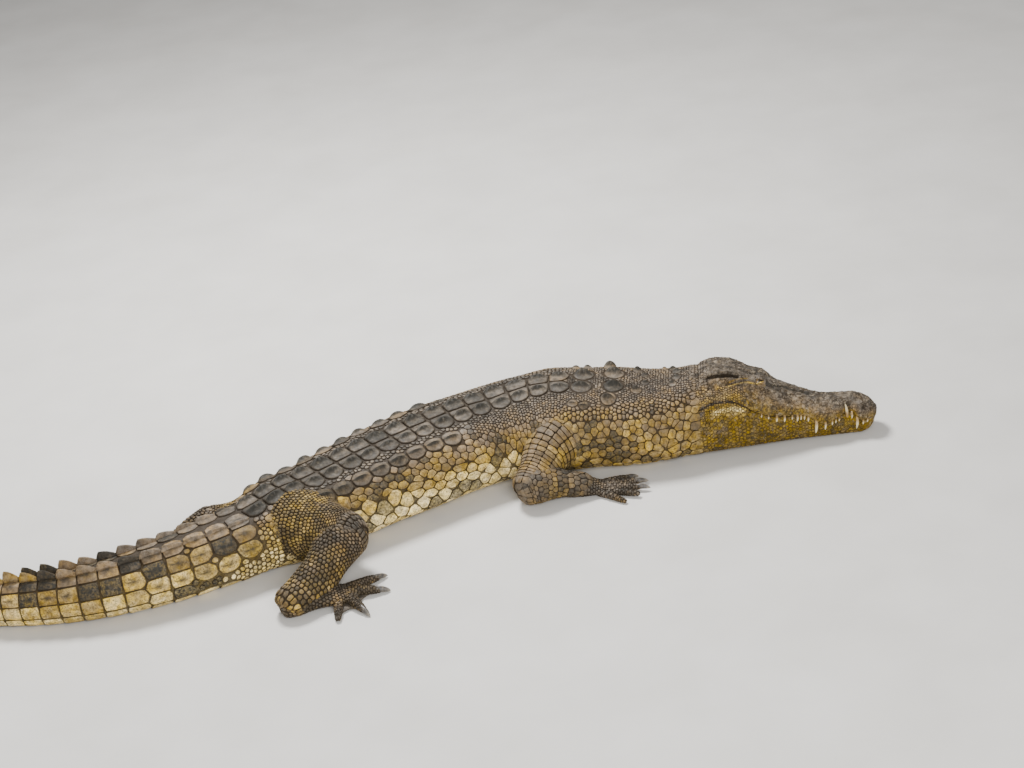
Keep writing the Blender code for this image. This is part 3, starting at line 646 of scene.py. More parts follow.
class Tube(Surface):
    """A limb or digit: ovals along a smooth path, with rounded ends; u runs 0 to 1 along it."""

    SAMPLES = 61

    def __init__(self, table, side, depth=0.0018, others=(), blend=0.035):
        rows = np.array(table, float)
        at = np.linspace(0, len(rows) - 1, self.SAMPLES)
        s, across, up, wide, tall = smooth(at, np.arange(len(rows)), rows.T)
        self.middle = place(s, side * across, up)
        self.middle[:, 2] = np.maximum(self.middle[:, 2], 0.003)
        self.along = unit(np.gradient(self.middle, axis=0))
        self.beside = unit(np.cross(self.along, (0, 0, 1)))
        self.over = np.cross(self.beside, self.along)
        self.wide, self.tall = wide, tall
        self.length = np.linalg.norm(np.diff(self.middle, axis=0), axis=1).sum()
        self.cap = 0.95 * min(wide.min(), tall.min()) / self.length
        self.steps = (0.004 / max(self.length, 0.05) * 0.4, 0.01)
        self.depth, self.others, self.blend = depth, others, blend

    def read(self, values, u):
        """A value of the path at u, between its samples."""
        at = np.clip(u, 0, 1) * (self.SAMPLES - 1)
        i = np.minimum(at.astype(int), self.SAMPLES - 2)
        t = at - i
        if values.ndim == 2:
            t = t[..., None]
        return values[i] * (1 - t) + values[i + 1] * t

    def base(self, u, v):
        """An oval across the path, and past either end one that shrinks as a quarter circle."""
        past = np.where(u < 0, u, np.maximum(u - 1, 0)) / self.cap
        lean = np.clip(past, -1.2, 1.2) * np.pi / 2
        size = np.cos(lean)
        ahead = self.cap * self.length * np.sin(lean)
        angle = np.pi / 2 * v
        middle = self.read(self.middle, u) + self.read(self.along, u) * ahead[..., None]
        wide, tall = self.read(self.wide, u) * size, self.read(self.tall, u) * size
        return grounded(
            middle
            + (wide * np.sin(angle))[..., None] * self.read(self.beside, u)
            + (tall * np.cos(angle))[..., None] * self.read(self.over, u)
        )

    def relief(self, u, v, base):
        """Sunk under its plates, with a soft rise to each neighbour."""
        high = np.full(u.shape, -self.depth)
        for other in self.others:
            high += other.fillet(base, self.blend if isinstance(other, Tube) else LIMB_BLEND)
        return high

    def close(self, points, reach):
        """Which points are near enough to the path's middle."""
        away = np.linalg.norm(points - self.middle.mean(axis=0), axis=1)
        return away < self.length / 2 + self.wide.max() + reach

    def gap(self, points):
        """About how far points lie outside the tube: the nearest of a row of swollen ovals."""
        best = np.full(len(points), 1e9)
        for i in range(0, self.SAMPLES, 4):
            off = points - self.middle[i]
            small = min(self.wide[i], self.tall[i])
            x = off @ self.beside[i] / self.wide[i]
            y = off @ self.over[i] / self.tall[i]
            z = off @ self.along[i] / small
            best = np.minimum(best, (np.sqrt(x * x + y * y + z * z) - 1) * small)
        return best


def tucked(rows, pairs=1):
    """The same limb on the outside of the body's bend: shorter along the spine, closer in."""
    rows = np.array(rows, float)
    ends = rows[:, : 2 * pairs]
    ends[:, 0::2] = TUCK_ABOUT + (ends[:, 0::2] - TUCK_ABOUT) * TUCK_SQUEEZE
    ends[:, 1::2] -= TUCK_IN
    return rows.tolist()


def digit_table(digit):
    """A digit's path from inside the palm to its end, arched a little over its middle joint."""
    s0, a0, s1, a1, radius, _ = digit
    steps = ((-0.12, 0.15, 1.0), (0.3, 0.35, 1.0), (0.65, 0.25, 0.95), (1.0, 0.0, 0.70))
    return [
        (
            s0 + (s1 - s0) * t, a0 + (a1 - a0) * t, radius * (DIGIT_RISE + arch),
            radius * size, radius * size * 0.95,
        )
        for t, arch, size in steps
    ]


# Tints and darkness at shares of the way along the upper limb, the lower limb and the foot.
TONE_AT = (0, 0.45, 0.8, 1)
LIMB_TONES = {
    "arm": (
        ((0.50, 0.40, 0.34, 0.34), (0.0, 0.0, 0.05, 0.25)),
        ((0.30, 0.34, 0.36, 0.36), (0.36, 0.66, 0.70, 0.70)),
        ((0.30, 0.28, 0.28, 0.28), (0.66, 0.68, 0.70, 0.72)),
    ),
    "leg": (
        ((0.56, 0.54, 0.40, 0.28), (0.25, 0.34, 0.35, 0.20)),
        ((0.28, 0.42, 0.46, 0.46), (0.25, 0.66, 0.78, 0.74)),
        ((0.34, 0.30, 0.26, 0.24), (0.66, 0.70, 0.74, 0.76)),
    ),
}
STREAKS = {"arm": 0.3, "leg": 0.9}  # how dark the upright streaks are


def build_surfaces():
    """The body, and for each leg its three tubes and its digits."""
    body = Body()
    legs = {}
    near_arm = (UPPER_ARM, FOREARM, HAND)
    plans = {
        "arm_right": (near_arm, FINGERS, -1),
        "arm_left": ([tucked(t) for t in near_arm], tucked(FINGERS, pairs=2), 1),
        "leg_right": ((THIGH, SHANK, FOOT), TOES, -1),
        "leg_left": ((THIGH_BACK, SHANK_BACK, FOOT_BACK), TOES_BACK, 1),
    }
    for name, (tables, digits, side) in plans.items():
        kind = name[:3]
        upper = Tube(tables[0], side, others=(body,))
        lower = Tube(tables[1], side, others=(body,))
        upper.others += (lower,)
        palm = Tube(tables[2], side, depth=0.0013)
        lower.others += (upper, palm)
        palm.others = (lower,)
        toes = [
            Tube(digit_table(d), side, depth=0.0008, others=(palm,), blend=0.012) for d in digits
        ]
        for k, tube in enumerate((upper, lower, palm, *toes)):
            tube.tints, tube.darks = LIMB_TONES[kind][min(k, 2)]
            tube.streaks = STREAKS[kind]
        if kind == "leg":
            upper.blend = lower.blend = LIMB_BLEND
        parts = (upper, lower, palm)
        legs[name] = {"tubes": parts, "toes": toes, "digits": digits, "side": side}
    body.limbs = tuple(t for leg in legs.values() for t in leg["tubes"][:2])
    return body, legs


BODY_HIDE, LEGS = build_surfaces()

# --- Markings, shared by the hide and the plates ---
# Tint from 0, slate, through taupe, brown, tan and gold to 1, pale yellow: a row for each place
# along the body, with a tint for each share of the turn from the back to the belly.
TINT_ROUND = (0.0, 0.3, 0.5, 0.7, 0.85, 1.0, 1.2, 1.5, 2.0)
TINTS = (
    (0.00, 0.18, 0.18, 0.20, 0.24, 0.30, 0.40, 0.50, 0.60, 0.62),
    (0.20, 0.08, 0.10, 0.20, 0.32, 0.42, 0.50, 0.54, 0.60, 0.62),
    (0.33, 0.05, 0.09, 0.22, 0.34, 0.44, 0.52, 0.56, 0.61, 0.66),
    (0.48, 0.06, 0.12, 0.24, 0.38, 0.50, 0.58, 0.60, 0.64, 0.74),
    (0.60, 0.12, 0.20, 0.32, 0.42, 0.44, 0.47, 0.56, 0.80, 0.92),
    (0.88, 0.12, 0.20, 0.32, 0.46, 0.47, 0.48, 0.57, 0.84, 0.96),
    (1.10, 0.03, 0.05, 0.25, 0.50, 0.70, 0.98, 1.00, 1.00, 1.00),
    (1.45, 0.03, 0.05, 0.26, 0.42, 0.68, 1.00, 1.00, 1.00, 1.00),
    (1.80, 0.02, 0.04, 0.26, 0.46, 0.72, 1.00, 1.00, 1.00, 1.00),
    (2.10, 0.05, 0.12, 0.36, 0.54, 0.70, 0.84, 0.92, 0.96, 1.00),
    (2.50, 0.14, 0.36, 0.50, 0.58, 0.66, 0.76, 0.86, 0.94, 0.98),
    (3.60, 0.18, 0.36, 0.50, 0.58, 0.64, 0.74, 0.86, 0.92, 0.96),
)


def body_tint(u, v, points):
    """Tint from the table, with a slow wander over the hide."""
    rows = np.array(TINTS).T
    columns = smooth(u, rows[0], rows[1:])
    at = np.interp(np.abs(v), TINT_ROUND, np.arange(len(TINT_ROUND)))
    slow = 0.10 * noise(points, 0.085, 11) + 0.07 * noise(points, 0.022, 12)
    return np.clip(through(at, columns.T) + slow * (0.5 + 0.5 * ramp(u, 0.5, 0.9)), 0, 1)


# Charcoal plates of the tail's right side: distance behind the snout, share of the half turn.
TAIL_BLOCKS = (
    (2.516, 0.56), (2.467, 0.595), (2.339, 0.70), (2.276, 1.08), (2.218, 1.11), (2.409, 0.165),
    (2.164, 0.50), (2.673, 0.23), (2.715, 0.42), (2.04, 0.16), (2.82, 0.55), (2.87, 0.20),
    (2.96, 0.60), (3.05, 0.35),
)


def body_dark(u, v, points, luck):
    """How charcoal a plate is: loose groups on the flank and neck, whole blocks on the tail."""
    turn = np.abs(v)
    before_tail = 1 - ramp(u, 2.05, 2.15)
    group = noise(points, 0.060, 21)
    rows = hill(turn, 0.66, 0.09) + 0.6 * hill(turn, 0.93, 0.09)
    flank = ramp(u, 0.95, 1.15) * before_tail * rows
    neck = 0.65 * hill(u, 0.84, 0.14) * hill(turn, 1.0, 0.25)
    chance = group * 0.70 + luck * 0.95 - 0.62
    loose = 0.92 * ramp(chance + 0.28 * np.maximum(flank, neck) - 0.32, 0.0, 0.08) * before_tail
    arc = upper_arc(u)
    block = np.zeros(len(u))
    for s, at in TAIL_BLOCKS:
        block = np.maximum(block, (np.abs(u - s) < 0.026) & (np.abs(-v - at) * arc < 0.024))
    far = ramp(u, 2.15, 2.2) * (v > 0) + ramp(u, 3.05, 3.1)
    return np.clip(np.maximum(loose, np.maximum(block, far * (luck > 0.72))), 0, 1)


def limb_tint(tube, u, v, points):
    """The limb's own tint along it, wandering a little, and yellower on its inner side."""
    outside = np.cos(np.pi / 2 * np.clip(np.abs(v), 0, 2))
    tint = np.interp(u, TONE_AT, tube.tints) - 0.06 * outside + 0.16 * noise(points, 0.04, 31)
    return np.clip(tint, 0.05, 0.9)


def limb_dark(tube, u, v, points, luck):
    """Brown black over most of a limb, in patches and upright streaks, with some darker plates."""
    patches = noise(points, 0.030, 72)
    streaks = ramp(noise(points * (1.0, 1.0, 0.3), 0.013, 73), -0.06, 0.14) * tube.streaks
    dark = np.interp(u, TONE_AT, tube.darks) * (1 + 1.5 * patches)
    dark = dark + 0.5 * ramp(patches + luck * 0.8, 0.85, 1.0)
    return np.clip(np.maximum(dark, streaks * (0.6 + 0.4 * luck)), 0, 0.92)


# --- Meshes ---


class Pile:
    """Points, faces and values of many closed shapes, gathered for one mesh."""

    def __init__(self):
        self.points, self.faces, self.spots, self.values, self.count = [], [], [], {}, 0

    def add(self, points, faces, spots, **values):
        """One more shape: its points, groups of faces, places on the map, and named values."""
        self.points.append(points)
        self.faces += [face + self.count for face in faces if len(face)]
        self.spots.append(spots)
        for name, value in values.items():
            filled = np.broadcast_to(np.asarray(value, float), (len(points),))
            self.values.setdefault(name, []).append(filled)
        self.count += len(points)

    def build(self, name, material):
        """One object: its mesh, smooth shading, the values as attributes and the map as OFBake."""
        points = np.concatenate(self.points)
        order = sorted(self.faces, key=lambda face: face.shape[1])
        corners = np.concatenate([face.ravel() for face in order])
        sizes = np.concatenate([np.full(len(face), face.shape[1]) for face in order])
        mesh = bpy.data.meshes.new(name)
        mesh.vertices.add(len(points))
        mesh.vertices.foreach_set("co", points.astype(np.float32).ravel())
        mesh.loops.add(len(corners))
        mesh.loops.foreach_set("vertex_index", corners.astype(np.int32))
        mesh.polygons.add(len(sizes))
        mesh.polygons.foreach_set("loop_start", (np.cumsum(sizes) - sizes).astype(np.int32))
        mesh.update(calc_edges=True)
        mesh.validate()
        mesh.shade_smooth()
        spots = np.concatenate(self.spots)[corners].astype(np.float32)
        mesh.uv_layers.new(name="OFBake").data.foreach_set("uv", spots.ravel())
        for key, lists in self.values.items():
            layer = mesh.attributes.new(key, "FLOAT", "POINT")
            layer.data.foreach_set("value", np.concatenate(lists).astype(np.float32))
        mesh.materials.append(material)
        obj = linked(name, mesh)
        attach(obj, "root")
        return obj


def grid_faces(rows, columns):
    """Quads of a tube of rings, with a fan at each end to a last pair of points."""
    i, j = grid_of(np.arange(rows - 1) * columns, np.arange(columns))
    k = (j + 1) % columns
    quads = np.stack([i + j, i + columns + j, i + columns + k, i + k], axis=-1)
    ring = np.arange(columns)
    after = (ring + 1) % columns
    end, middle = (rows - 1) * columns, np.full(columns, rows * columns)
    fans = [(ring, after, middle), (after + end, ring + end, middle + 1)]
    return [quads.reshape(-1, 4), *(np.stack(fan, axis=-1) for fan in fans)]


def capped(grid):
    """The rows of a grid of rings, with the mean of each end ring added."""
    ends = [grid[k].mean(axis=0)[None] for k in (0, -1)]
    return np.concatenate([grid.reshape(-1, grid.shape[-1]), *ends])


def outward(points, faces):
    """The faces of a closed shape, all turned over if its signed volume, a sixth of the sum of each
    triangle's triple product, comes out below zero."""
    volume = 0.0
    for group in faces:
        first = points[group[:, 0]]
        for k in range(1, group.shape[1] - 1):
            volume += (first * np.cross(points[group[:, k]], points[group[:, k + 1]])).sum()
    return [group[:, ::-1] for group in faces] if volume < 0 else faces


def add_tube(pile, grid, spots, **values):
    """A closed tube of rings for a pile; values and map spots are given for each ring point."""
    rows, columns = shape = grid.shape[:2]
    points = capped(grid)
    faces = outward(points - points.mean(axis=0), grid_faces(rows, columns))
    filled = {}
    for key, value in values.items():
        whole = np.reshape(value, shape) if np.ndim(value) else np.full(shape, float(value))
        filled[key] = np.concatenate([whole.ravel(), [whole[0].mean(), whole[-1].mean()]])
    pile.add(points, faces, capped(spots.reshape(*shape, 2)), **filled)


# --- The hide ---


def spread(low, high, count, weight):
    """Places from low to high, closer together where the weight is greater."""
    fine = np.linspace(low, high, 2001)
    total = running((weight(fine[1:]) + weight(fine[:-1])) / 2)
    return np.interp(np.linspace(0, total[-1], count), total, fine)


def body_places():
    """Ring places along the body, dense on the head and at the limbs, and columns round it, dense
    at the lip and over the eyes."""
    snout = -SNOUT_ROUND * np.array([0.98, 0.85, 0.6, 0.3])
    head = np.linspace(0.0, 0.60, 244)
    near_limbs = lambda s: 1 + 1.3 * hill(s, 1.03, 0.16) + 1.3 * hill(s, 2.02, 0.20)
    rest = spread(0.605, LENGTH, 116, near_limbs)
    tail = LENGTH + SNOUT_ROUND * np.array([0.5, 0.9])
    near_lip = lambda v: (
        1 + 2.2 * hill(v, 1.0, 0.07) + 0.9 * hill(v, 0.40, 0.16) - 0.4 * ramp(v, 1.3, 1.6)
    )
    half = spread(0, 2, 101, near_lip)
    around = np.concatenate([-half[:0:-1], half[:-1]])
    return np.concatenate([snout, head, rest, tail]), around


def face_texture(u, v, base):
    """Rugged bone under thin hide: small lumps, pits and a net of fine cracks, with painted shade
    in them.
    """
    turn = np.abs(v)
    bare = (1 - ramp(u, *COAT)) * (1 - 0.75 * ramp(turn, 1.0, 1.12))
    crown = 1 - 0.5 * ramp(turn, 0.75, 0.95)
    net = cracks(base + 0.003 * noise(base, 0.02, 5)[:, None], 0.0130, 41)
    fine = cracks(base, 0.0065, 47)
    lumps = noise(base, 0.016, 43) * 0.0016 + noise(base, 0.007, 44) * 0.0008
    line, thin = (1 - ramp(crack, 0.02, 0.26) for crack in (net, fine))
    height = bare * (crown * lumps - 0.0015 * line - 0.0006 * thin)
    return height, bare * np.maximum(0.85 * line, 0.60 * thin)


def add_limb(pile, tube, cell, rows, columns):
    """One tube of a limb: rings along it, closer over its rounded ends, in a cell of the map."""
    lean = np.linspace(-0.98, 0, 6)[:-1] * tube.cap
    stations = np.concatenate([lean, np.linspace(0, 1, rows), 1 - lean[::-1]])
    along, around = grid_of(stations, np.linspace(-2, 2, columns, endpoint=False))
    u, v = along.ravel(), around.ravel()
    points = tube.points(u, v)
    corner = np.array([0.01 + (cell % 10) * 0.098, 0.66 + (cell // 10) * 0.11])
    spots = corner + pairs_of((u - u.min()) / np.ptp(u) * 0.09, (v + 2) / 4 * 0.10)
    # The limb's hide under its plates is painted shade: edge 1 takes it to the crease colour.
    add_tube(
        pile, points.reshape(*along.shape, 3), spots, tint=limb_tint(tube, u, v, points),
        dark=limb_dark(tube, u, v, points, 0.5), tone=0.5, edge=1.0, bare=0, olive=0,
    )


def add_skin(sizes, colours):
    """One hide over the whole animal: the swept body, the limbs, the webs and the eyelids."""
    pile = Pile()
    along, around = body_places()
    u, v = (g.ravel() for g in grid_of(along, around))
    base = BODY_HIDE.base(u, v)
    high, coated = np.zeros(len(u)), ramp(u, *COAT)
    # hollow is painted shade: the hide under the plates, the face's net of cracks and its sunk
    # folds go towards the crease colour.
    hollow = coated.copy()
    face = u < FACE_END
    high[face], net = face_texture(u[face], v[face], base[face])
    s = np.maximum(u[face], 0)
    folds = ramp(-face_relief(s, turn_at(s, v[face])), 0.0022, 0.0045)
    hollow[face] = np.maximum(hollow[face], np.maximum(net, folds))
    crown = 1 - 0.5 * ramp(np.abs(v), 0.7, 0.95)
    mottle = 0.55 * ramp(noise(base, 0.013, 74), 0.04, 0.34) * (1 - coated) * crown
    tint, dark, olive = painted(u, v, body_tint(u, v, base), mottle)
    for name in EYES:
        high += eye_mound(name, base)
    points = BODY_HIDE.points(u, v, high)
    spots = pairs_of(0.01 + 0.98 * (u + 0.01) / (LENGTH + 0.02), 0.02 + 0.60 * (v + 2) / 4)
    add_tube(
        pile, points.reshape(len(along), len(around), 3), spots, tint=tint, dark=dark, tone=0.5,
        edge=hollow, bare=1 - coated, olive=olive,
    )
    cell = 0
    for leg in LEGS.values():
        for tube in (*leg["tubes"], *leg["toes"]):
            rows, columns = (26, 28) if tube in leg["tubes"] else (14, 12)
            add_limb(pile, tube, cell, rows, columns)
            cell += 1
        add_webs(pile, leg)
    for name in EYES:
        add_lids(pile, name, sizes.lid_opening)
    skin = pile.build("skin", hide_material("hide", colours))
    flesh = [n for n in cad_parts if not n.startswith(("eye", "claw", "hind_claw"))]
    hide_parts(*sorted(flesh))


def add_webs(pile, leg):
    """Thin webs between the hind toes: a sheet from toe to toe with a hollow free edge."""
    if leg["digits"] not in (TOES, TOES_BACK):
        return
    q = np.linspace(0, 1, 11)[:, None]
    p = np.concatenate([np.linspace(0, 1, 9), np.linspace(1, 0, 9)])
    side = np.repeat([1.0, -1.0], 9)
    along = (0.86 - 0.26 * np.sin(np.pi * q)) * p
    thick = 0.0018 * (1 - 0.6 * p ** 4)
    spots = pairs_of(0.93 + 0.06 * along, 0.66 + 0.05 * q)
    for near, far in zip(leg["toes"], leg["toes"][1:]):
        a, b = near.read(near.middle, along), far.read(far.middle, along)
        sheet = a + (b - a) * q[..., None]
        sheet[..., 2] = 0.0075 - 0.002 * np.sin(np.pi * q) * p + side * thick
        add_tube(pile, sheet, spots, tint=0.14, dark=0.60, tone=0.5, edge=0.1, bare=0.4, olive=0)


# --- Eyes ---


LID_BACK, LID_FRONT = 1.90, 1.28  # how much longer the lids are than the eyeball, behind and ahead
EYE_SET = {"eye_right": (0.006, 0.003), "eye_left": (0.012, 0.011)}  # how far in and down
MOUND = 0.022  # how near the lids the hide starts to rise
LID_FOLDS = 26  # radians of folds from the margin to the rim
SLIT_HALF, RIM_ACROSS, RIM_UP = np.radians((76, 104, 100))  # margin and rim, from the outward axis


def eye_axes(name):
    """Middle of the eye and its outward, forward and upward directions."""
    side = -1 if name == "eye_right" else 1
    s = EYE_AT[0] * SKULL
    forward = unit(lay(s - 0.01, side * 0.07, 0.205) - lay(s + 0.01, side * 0.06, 0.2))
    flat = unit(lay(s, side, 0.56) - lay(s, 0.0, 0.0))
    out = unit(flat - forward * (flat @ forward))
    up = np.cross(out, forward)
    up = up * np.sign(up[2])
    inward, down = EYE_SET[name]
    return EYES[name].mean(axis=0) - inward * out - down * up, out, forward, up


def eye_mound(name, points):
    """The hide rises softly to the long lids and sinks beneath them."""
    middle, _, forward, _ = eye_axes(name)
    off = points - middle
    ahead = off @ forward
    longer = np.where(ahead < 0, LID_BACK, LID_FRONT)
    away = np.sqrt((off ** 2).sum(axis=1) - ahead ** 2 * (1 - longer ** -2.0))
    away = away - (EYE_RADIUS + 0.003)
    lift = np.maximum(MOUND - np.abs(away), 0) ** 2 / (4 * MOUND)
    inside = ramp(-away, 0.003, 0.009)
    return 0.8 * lift * (1 - inside) - 0.024 * inside


def add_lids(pile, name, opening):
    """Upper and lower lid as one ring over the eyeball: from the slit's margin out to the socket.

    The margin is an almond of angles about the outward axis; the sheet lies a little over the ball,
    thickens into a rim, and turns in behind the margin, so that it is closed."""
    middle, out, forward, up = eye_axes(name)
    turn = circle(72)[0]
    ahead, lift = np.cos(turn), np.sin(turn)
    margin = np.where(lift > 0, 0.55, 0.62) * opening
    tall = margin * np.sign(lift) * np.abs(lift) ** 0.9 * (1 - 0.25 * ahead) + 0.10 * ahead
    share = np.linspace(0, 1, 18)[:, None]
    lean_x = SLIT_HALF * ahead + (RIM_ACROSS * ahead - SLIT_HALF * ahead) * share
    lean_y = tall + (RIM_UP * lift - tall) * share
    angle = np.hypot(lean_x, lean_y)
    flat = (lean_x / angle)[..., None] * forward + (lean_y / angle)[..., None] * up
    way = np.cos(angle)[..., None] * out + np.sin(angle)[..., None] * flat
    ahead = way @ forward
    way = way + (np.where(ahead < 0, LID_BACK - 1, LID_FRONT - 1) * ahead)[..., None] * forward
    rim = hill(share, 0.06, 0.07) * 0.0011
    folds = 0.0005 * np.cos(share * LID_FOLDS) * ramp(share, 0.12, 0.3)
    folds = folds * (1 - ramp(share, 0.8, 1.0))
    brow = 0.0018 * np.maximum(lift, 0) ** 1.5 * hill(share, 0.55, 0.26)
    lumps = 0.0008 * noise(middle + way * EYE_RADIUS, 0.006, 61)
    radius = EYE_RADIUS + 0.0016 + 0.0016 * ramp(share, 0.0, 0.5) + rim + folds + brow + lumps
    outer = middle + way * radius[..., None]
    inner = middle + way[::-1] * (EYE_RADIUS - 0.0035)
    loop = np.concatenate([outer, inner]).transpose(1, 0, 2)
    rows, columns = loop.shape[:2]
    i, j = grid_of(np.arange(rows), np.arange(columns))
    a, b = (i + 1) % rows * columns, (j + 1) % columns
    i = i * columns
    faces = np.stack([i + j, i + b, a + b, a + j], axis=-1).reshape(-1, 4)
    faces = outward(loop.reshape(-1, 3) - middle, [faces])
    shares = np.concatenate([share, share[::-1]])[:, 0]
    low, turn = np.maximum(-lift, 0)[:, None], turn[:, None]
    yellow = hill(shares, 0.04, 0.11) * (0.15 + 0.85 * low ** 0.5)
    tint = 0.14 + 0.72 * yellow + 0.20 * low * hill(shares, 0.35, 0.2)
    row = 0.80 if name == "eye_right" else 0.86
    spots = pairs_of(0.94 + 0.02 * shares, row + 0.05 * turn / 6.3)
    # Painted shade in the hollows of the lid's folds: edge takes them towards the crease colour.
    crease = 0.5 * ramp(-np.cos(shares * LID_FOLDS), 0.3, 1.0) * ramp(shares, 0.12, 0.3)
    pile.add(
        loop.reshape(-1, 3), faces, spots.reshape(-1, 2), tint=tint.ravel(), dark=0, tone=0.5,
        edge=np.tile(crease, rows), bare=1, olive=0,
    )


def add_eyes(colours):
    """Eyeballs with a raised cornea: spheres of rings round the outward axis."""
    for name in EYES:
        middle, out, forward, up = eye_axes(name)
        p, t = grid_of(np.linspace(0.02, np.pi - 0.02, 40), circle(48)[0])
        cornea = 0.035 * np.cos(np.clip(p / 0.62, 0, 1) * np.pi / 2) ** 2
        radius = (EYE_RADIUS - 0.0004) * (1 + cornea)
        flat = np.cos(t)[..., None] * forward + np.sin(t)[..., None] * up
        way = np.cos(p)[..., None] * out + np.sin(p)[..., None] * flat
        pile = Pile()
        reach = 0.46 * p / np.pi
        add_tube(
            pile, middle + radius[..., None] * way,
            pairs_of(0.5 + reach * np.cos(t), 0.5 + reach * np.sin(t)),
            side_on=np.sin(p) * np.cos(t), upright=np.sin(p) * np.sin(t), polar=p,
        )
        ball = pile.build(name + "_ball", eye_material(name, colours))
        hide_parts(name)


# --- Teeth and claws ---


def tooth_rings(s, length, radius, side, rising):
    """A curved cone rooted in its own jaw's edge, standing just clear of the other jaw."""
    way = 1 if rising else -1
    lip, up = outline(np.array([s]), np.array([1.0]))[:, 0]
    facing = outline(np.array([s]), np.array([0.75 if rising else 1.33]))[0, 0]
    across = max(lip - (0 if rising else JAW_INSET), facing) + radius + TOOTH_CLEARANCE
    t = np.linspace(-0.5, 1, 13)[:, None]
    out = np.clip(t, 0, 1)
    root, cone = 0.9 + 0.1 * (t + 0.5) * 2, np.sqrt(np.maximum(1 - out ** 1.9, 0.006))
    size = np.where(t < 0, root, cone)
    inward = np.where(t < 0, 2.2 * radius * (-2 * t), -0.10 * length * t * t)
    ahead = s + 0.14 * length * out ** 2 + radius * size * np.cos(circle(12))
    beside = side * (across - inward) + radius * size * np.sin(circle(12))
    return place(ahead, beside, up + way * length * t), out


def add_teeth(colours):
    """All the teeth that show with the mouth shut, as one piece."""
    pile = Pile()
    count = 0
    for side in (-1, 1):
        for table, rising in ((UPPER_TEETH, False), (LOWER_TEETH, True)):
            for s, length, radius in table:
                rings, out = tooth_rings(s * SKULL, length / MM, radius / MM, side, rising)
                turn = np.linspace(0, 0.1, rings.shape[1])
                column, row = 0.02 + (count % 8) * 0.12, 0.02 + (count // 8) * 0.2
                spots = pairs_of(column + turn, row + 0.15 * out)
                add_tube(pile, rings, spots, out=out + 0 * turn)
                count += 1
    teeth = pile.build("teeth", tooth_material(colours))


def claw_rings(tube, radius):
    """A horn that leaves the end of a digit, curves down and tapers to a blunt point."""
    end, along = tube.middle[-1], tube.along[-1]
    beside = unit(np.cross(along, (0, 0, 1)))
    over = np.cross(beside, along)
    t = np.linspace(-0.25, 1, 14)[:, None]
    across, rise = np.cos(circle(12)), np.sin(circle(12))
    out = np.clip(t, 0, 1)
    size = radius * 0.62 * np.sqrt(np.maximum(1 - out ** 1.7, 0.012))
    fall = np.array([0, 0, CLAW_LENGTH]) * (0.10 * out - 0.20 * out ** 2)[..., None]
    centre = end + along * (CLAW_LENGTH * t)[..., None] + fall
    tall = size * 1.25 * rise * (1 - 0.25 * (rise < 0))
    return grounded(centre + (size * across)[..., None] * beside + tall[..., None] * over), out


def add_claws(colours):
    """A claw on the first three digits of every foot, each in the place of its solid."""
    for name, leg in LEGS.items():
        kind = "claw" if name.startswith("arm") else "hind_claw"
        side = "right" if leg["side"] < 0 else "left"
        for k, (tube, digit) in enumerate(zip(leg["toes"], leg["digits"])):
            if not digit[-1]:
                continue
            rings, out = claw_rings(tube, digit[4])
            node = f"{kind}_{side}_{k + 1}"
            pile = Pile()
            turn = np.linspace(0, 0.9, rings.shape[1])
            add_tube(pile, rings, pairs_of(0.05 + turn, 0.05 + 0.9 * out), out=out + 0 * turn)
            claw = pile.build(node + "_horn", claw_material(colours))
            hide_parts(node)


# --- Plates ---
# Each kind of plate: rings as shares of its reach, corners, how many neighbours press on it, and
# where its border of painted shade starts and how wide that is.
GRAIN, PLATE, SCUTE = range(3)
KINDS = (
    ((0.60, 0.93, 1.0), 8, 26, 0.66, 0.22),
    ((0.50, 0.86, 0.965, 1.0), 16, 34, 0.84, 0.14),
    ((0.16, 0.34, 0.55, 0.78, 0.965, 1.0), 24, 90, 0.84, 0.14),
)
FOOT_DEPTH = -0.0009  # a plate's foot, under the hide
CREASE = 0.0003  # left between two plates, apart from the share that the user sets
FLAT = 0.0005  # a plate that stands no higher is pressed into the ground
KEEL_WIDTH = 0.16  # half width of a keel, as a share of the plate's reach
MAP_PATCH = 0.0015  # half width of a plate on the map
BATCH = 400  # plates whose reach is worked out at once


def varied(size):
    """A size worked out from a place; one given as a number is the same everywhere."""
    return size if callable(size) else lambda *place: size


def rows_of(surface, stations, low, high, pitch, rng, jitter, bricks=True):
    """Plate middles in rows across the body: even along each row's arc, every other row set over
    where they are laid as bricks."""
    low, high, pitch = varied(low), varied(high), varied(pitch)
    found = []
    for row, u in enumerate(stations):
        offset = (0.26, 0.75)[row % 2 if bricks else 0]
        for side in (-1, 1):
            v = np.linspace(low(u), high(u), 49)
            between = (v[1:] + v[:-1]) / 2
            line = surface.base(np.full_like(v, u), side * v)
            size = np.broadcast_to(pitch(u, between), between.shape)
            count = running(np.linalg.norm(np.diff(line, axis=0), axis=1) / size)
            number = max(1, int(round(count[-1])))
            at = np.interp((np.arange(number) + offset) / number * count[-1], count, v)
            wide = count[-1] / number * np.interp(at, between, size)
            found.append(np.stack([np.full(number, u), side * at, wide], axis=1))
    u, v, size = np.concatenate(found).T
    du = np.median(np.diff(stations)) if len(stations) > 1 else size.mean()
    along, around = surface.tangents(u, v)
    u = u + jitter * du * rng.uniform(-1, 1, len(u))
    v = v + jitter * size * rng.uniform(-1, 1, len(v)) / np.linalg.norm(around, axis=1)
    step = du * np.linalg.norm(along, axis=1)
    aspect = np.clip(step / (0.92 * size), 0.4, 2.5)
    return {"u": u, "v": v, "size": np.sqrt(size * step) / 2, "aspect": aspect}


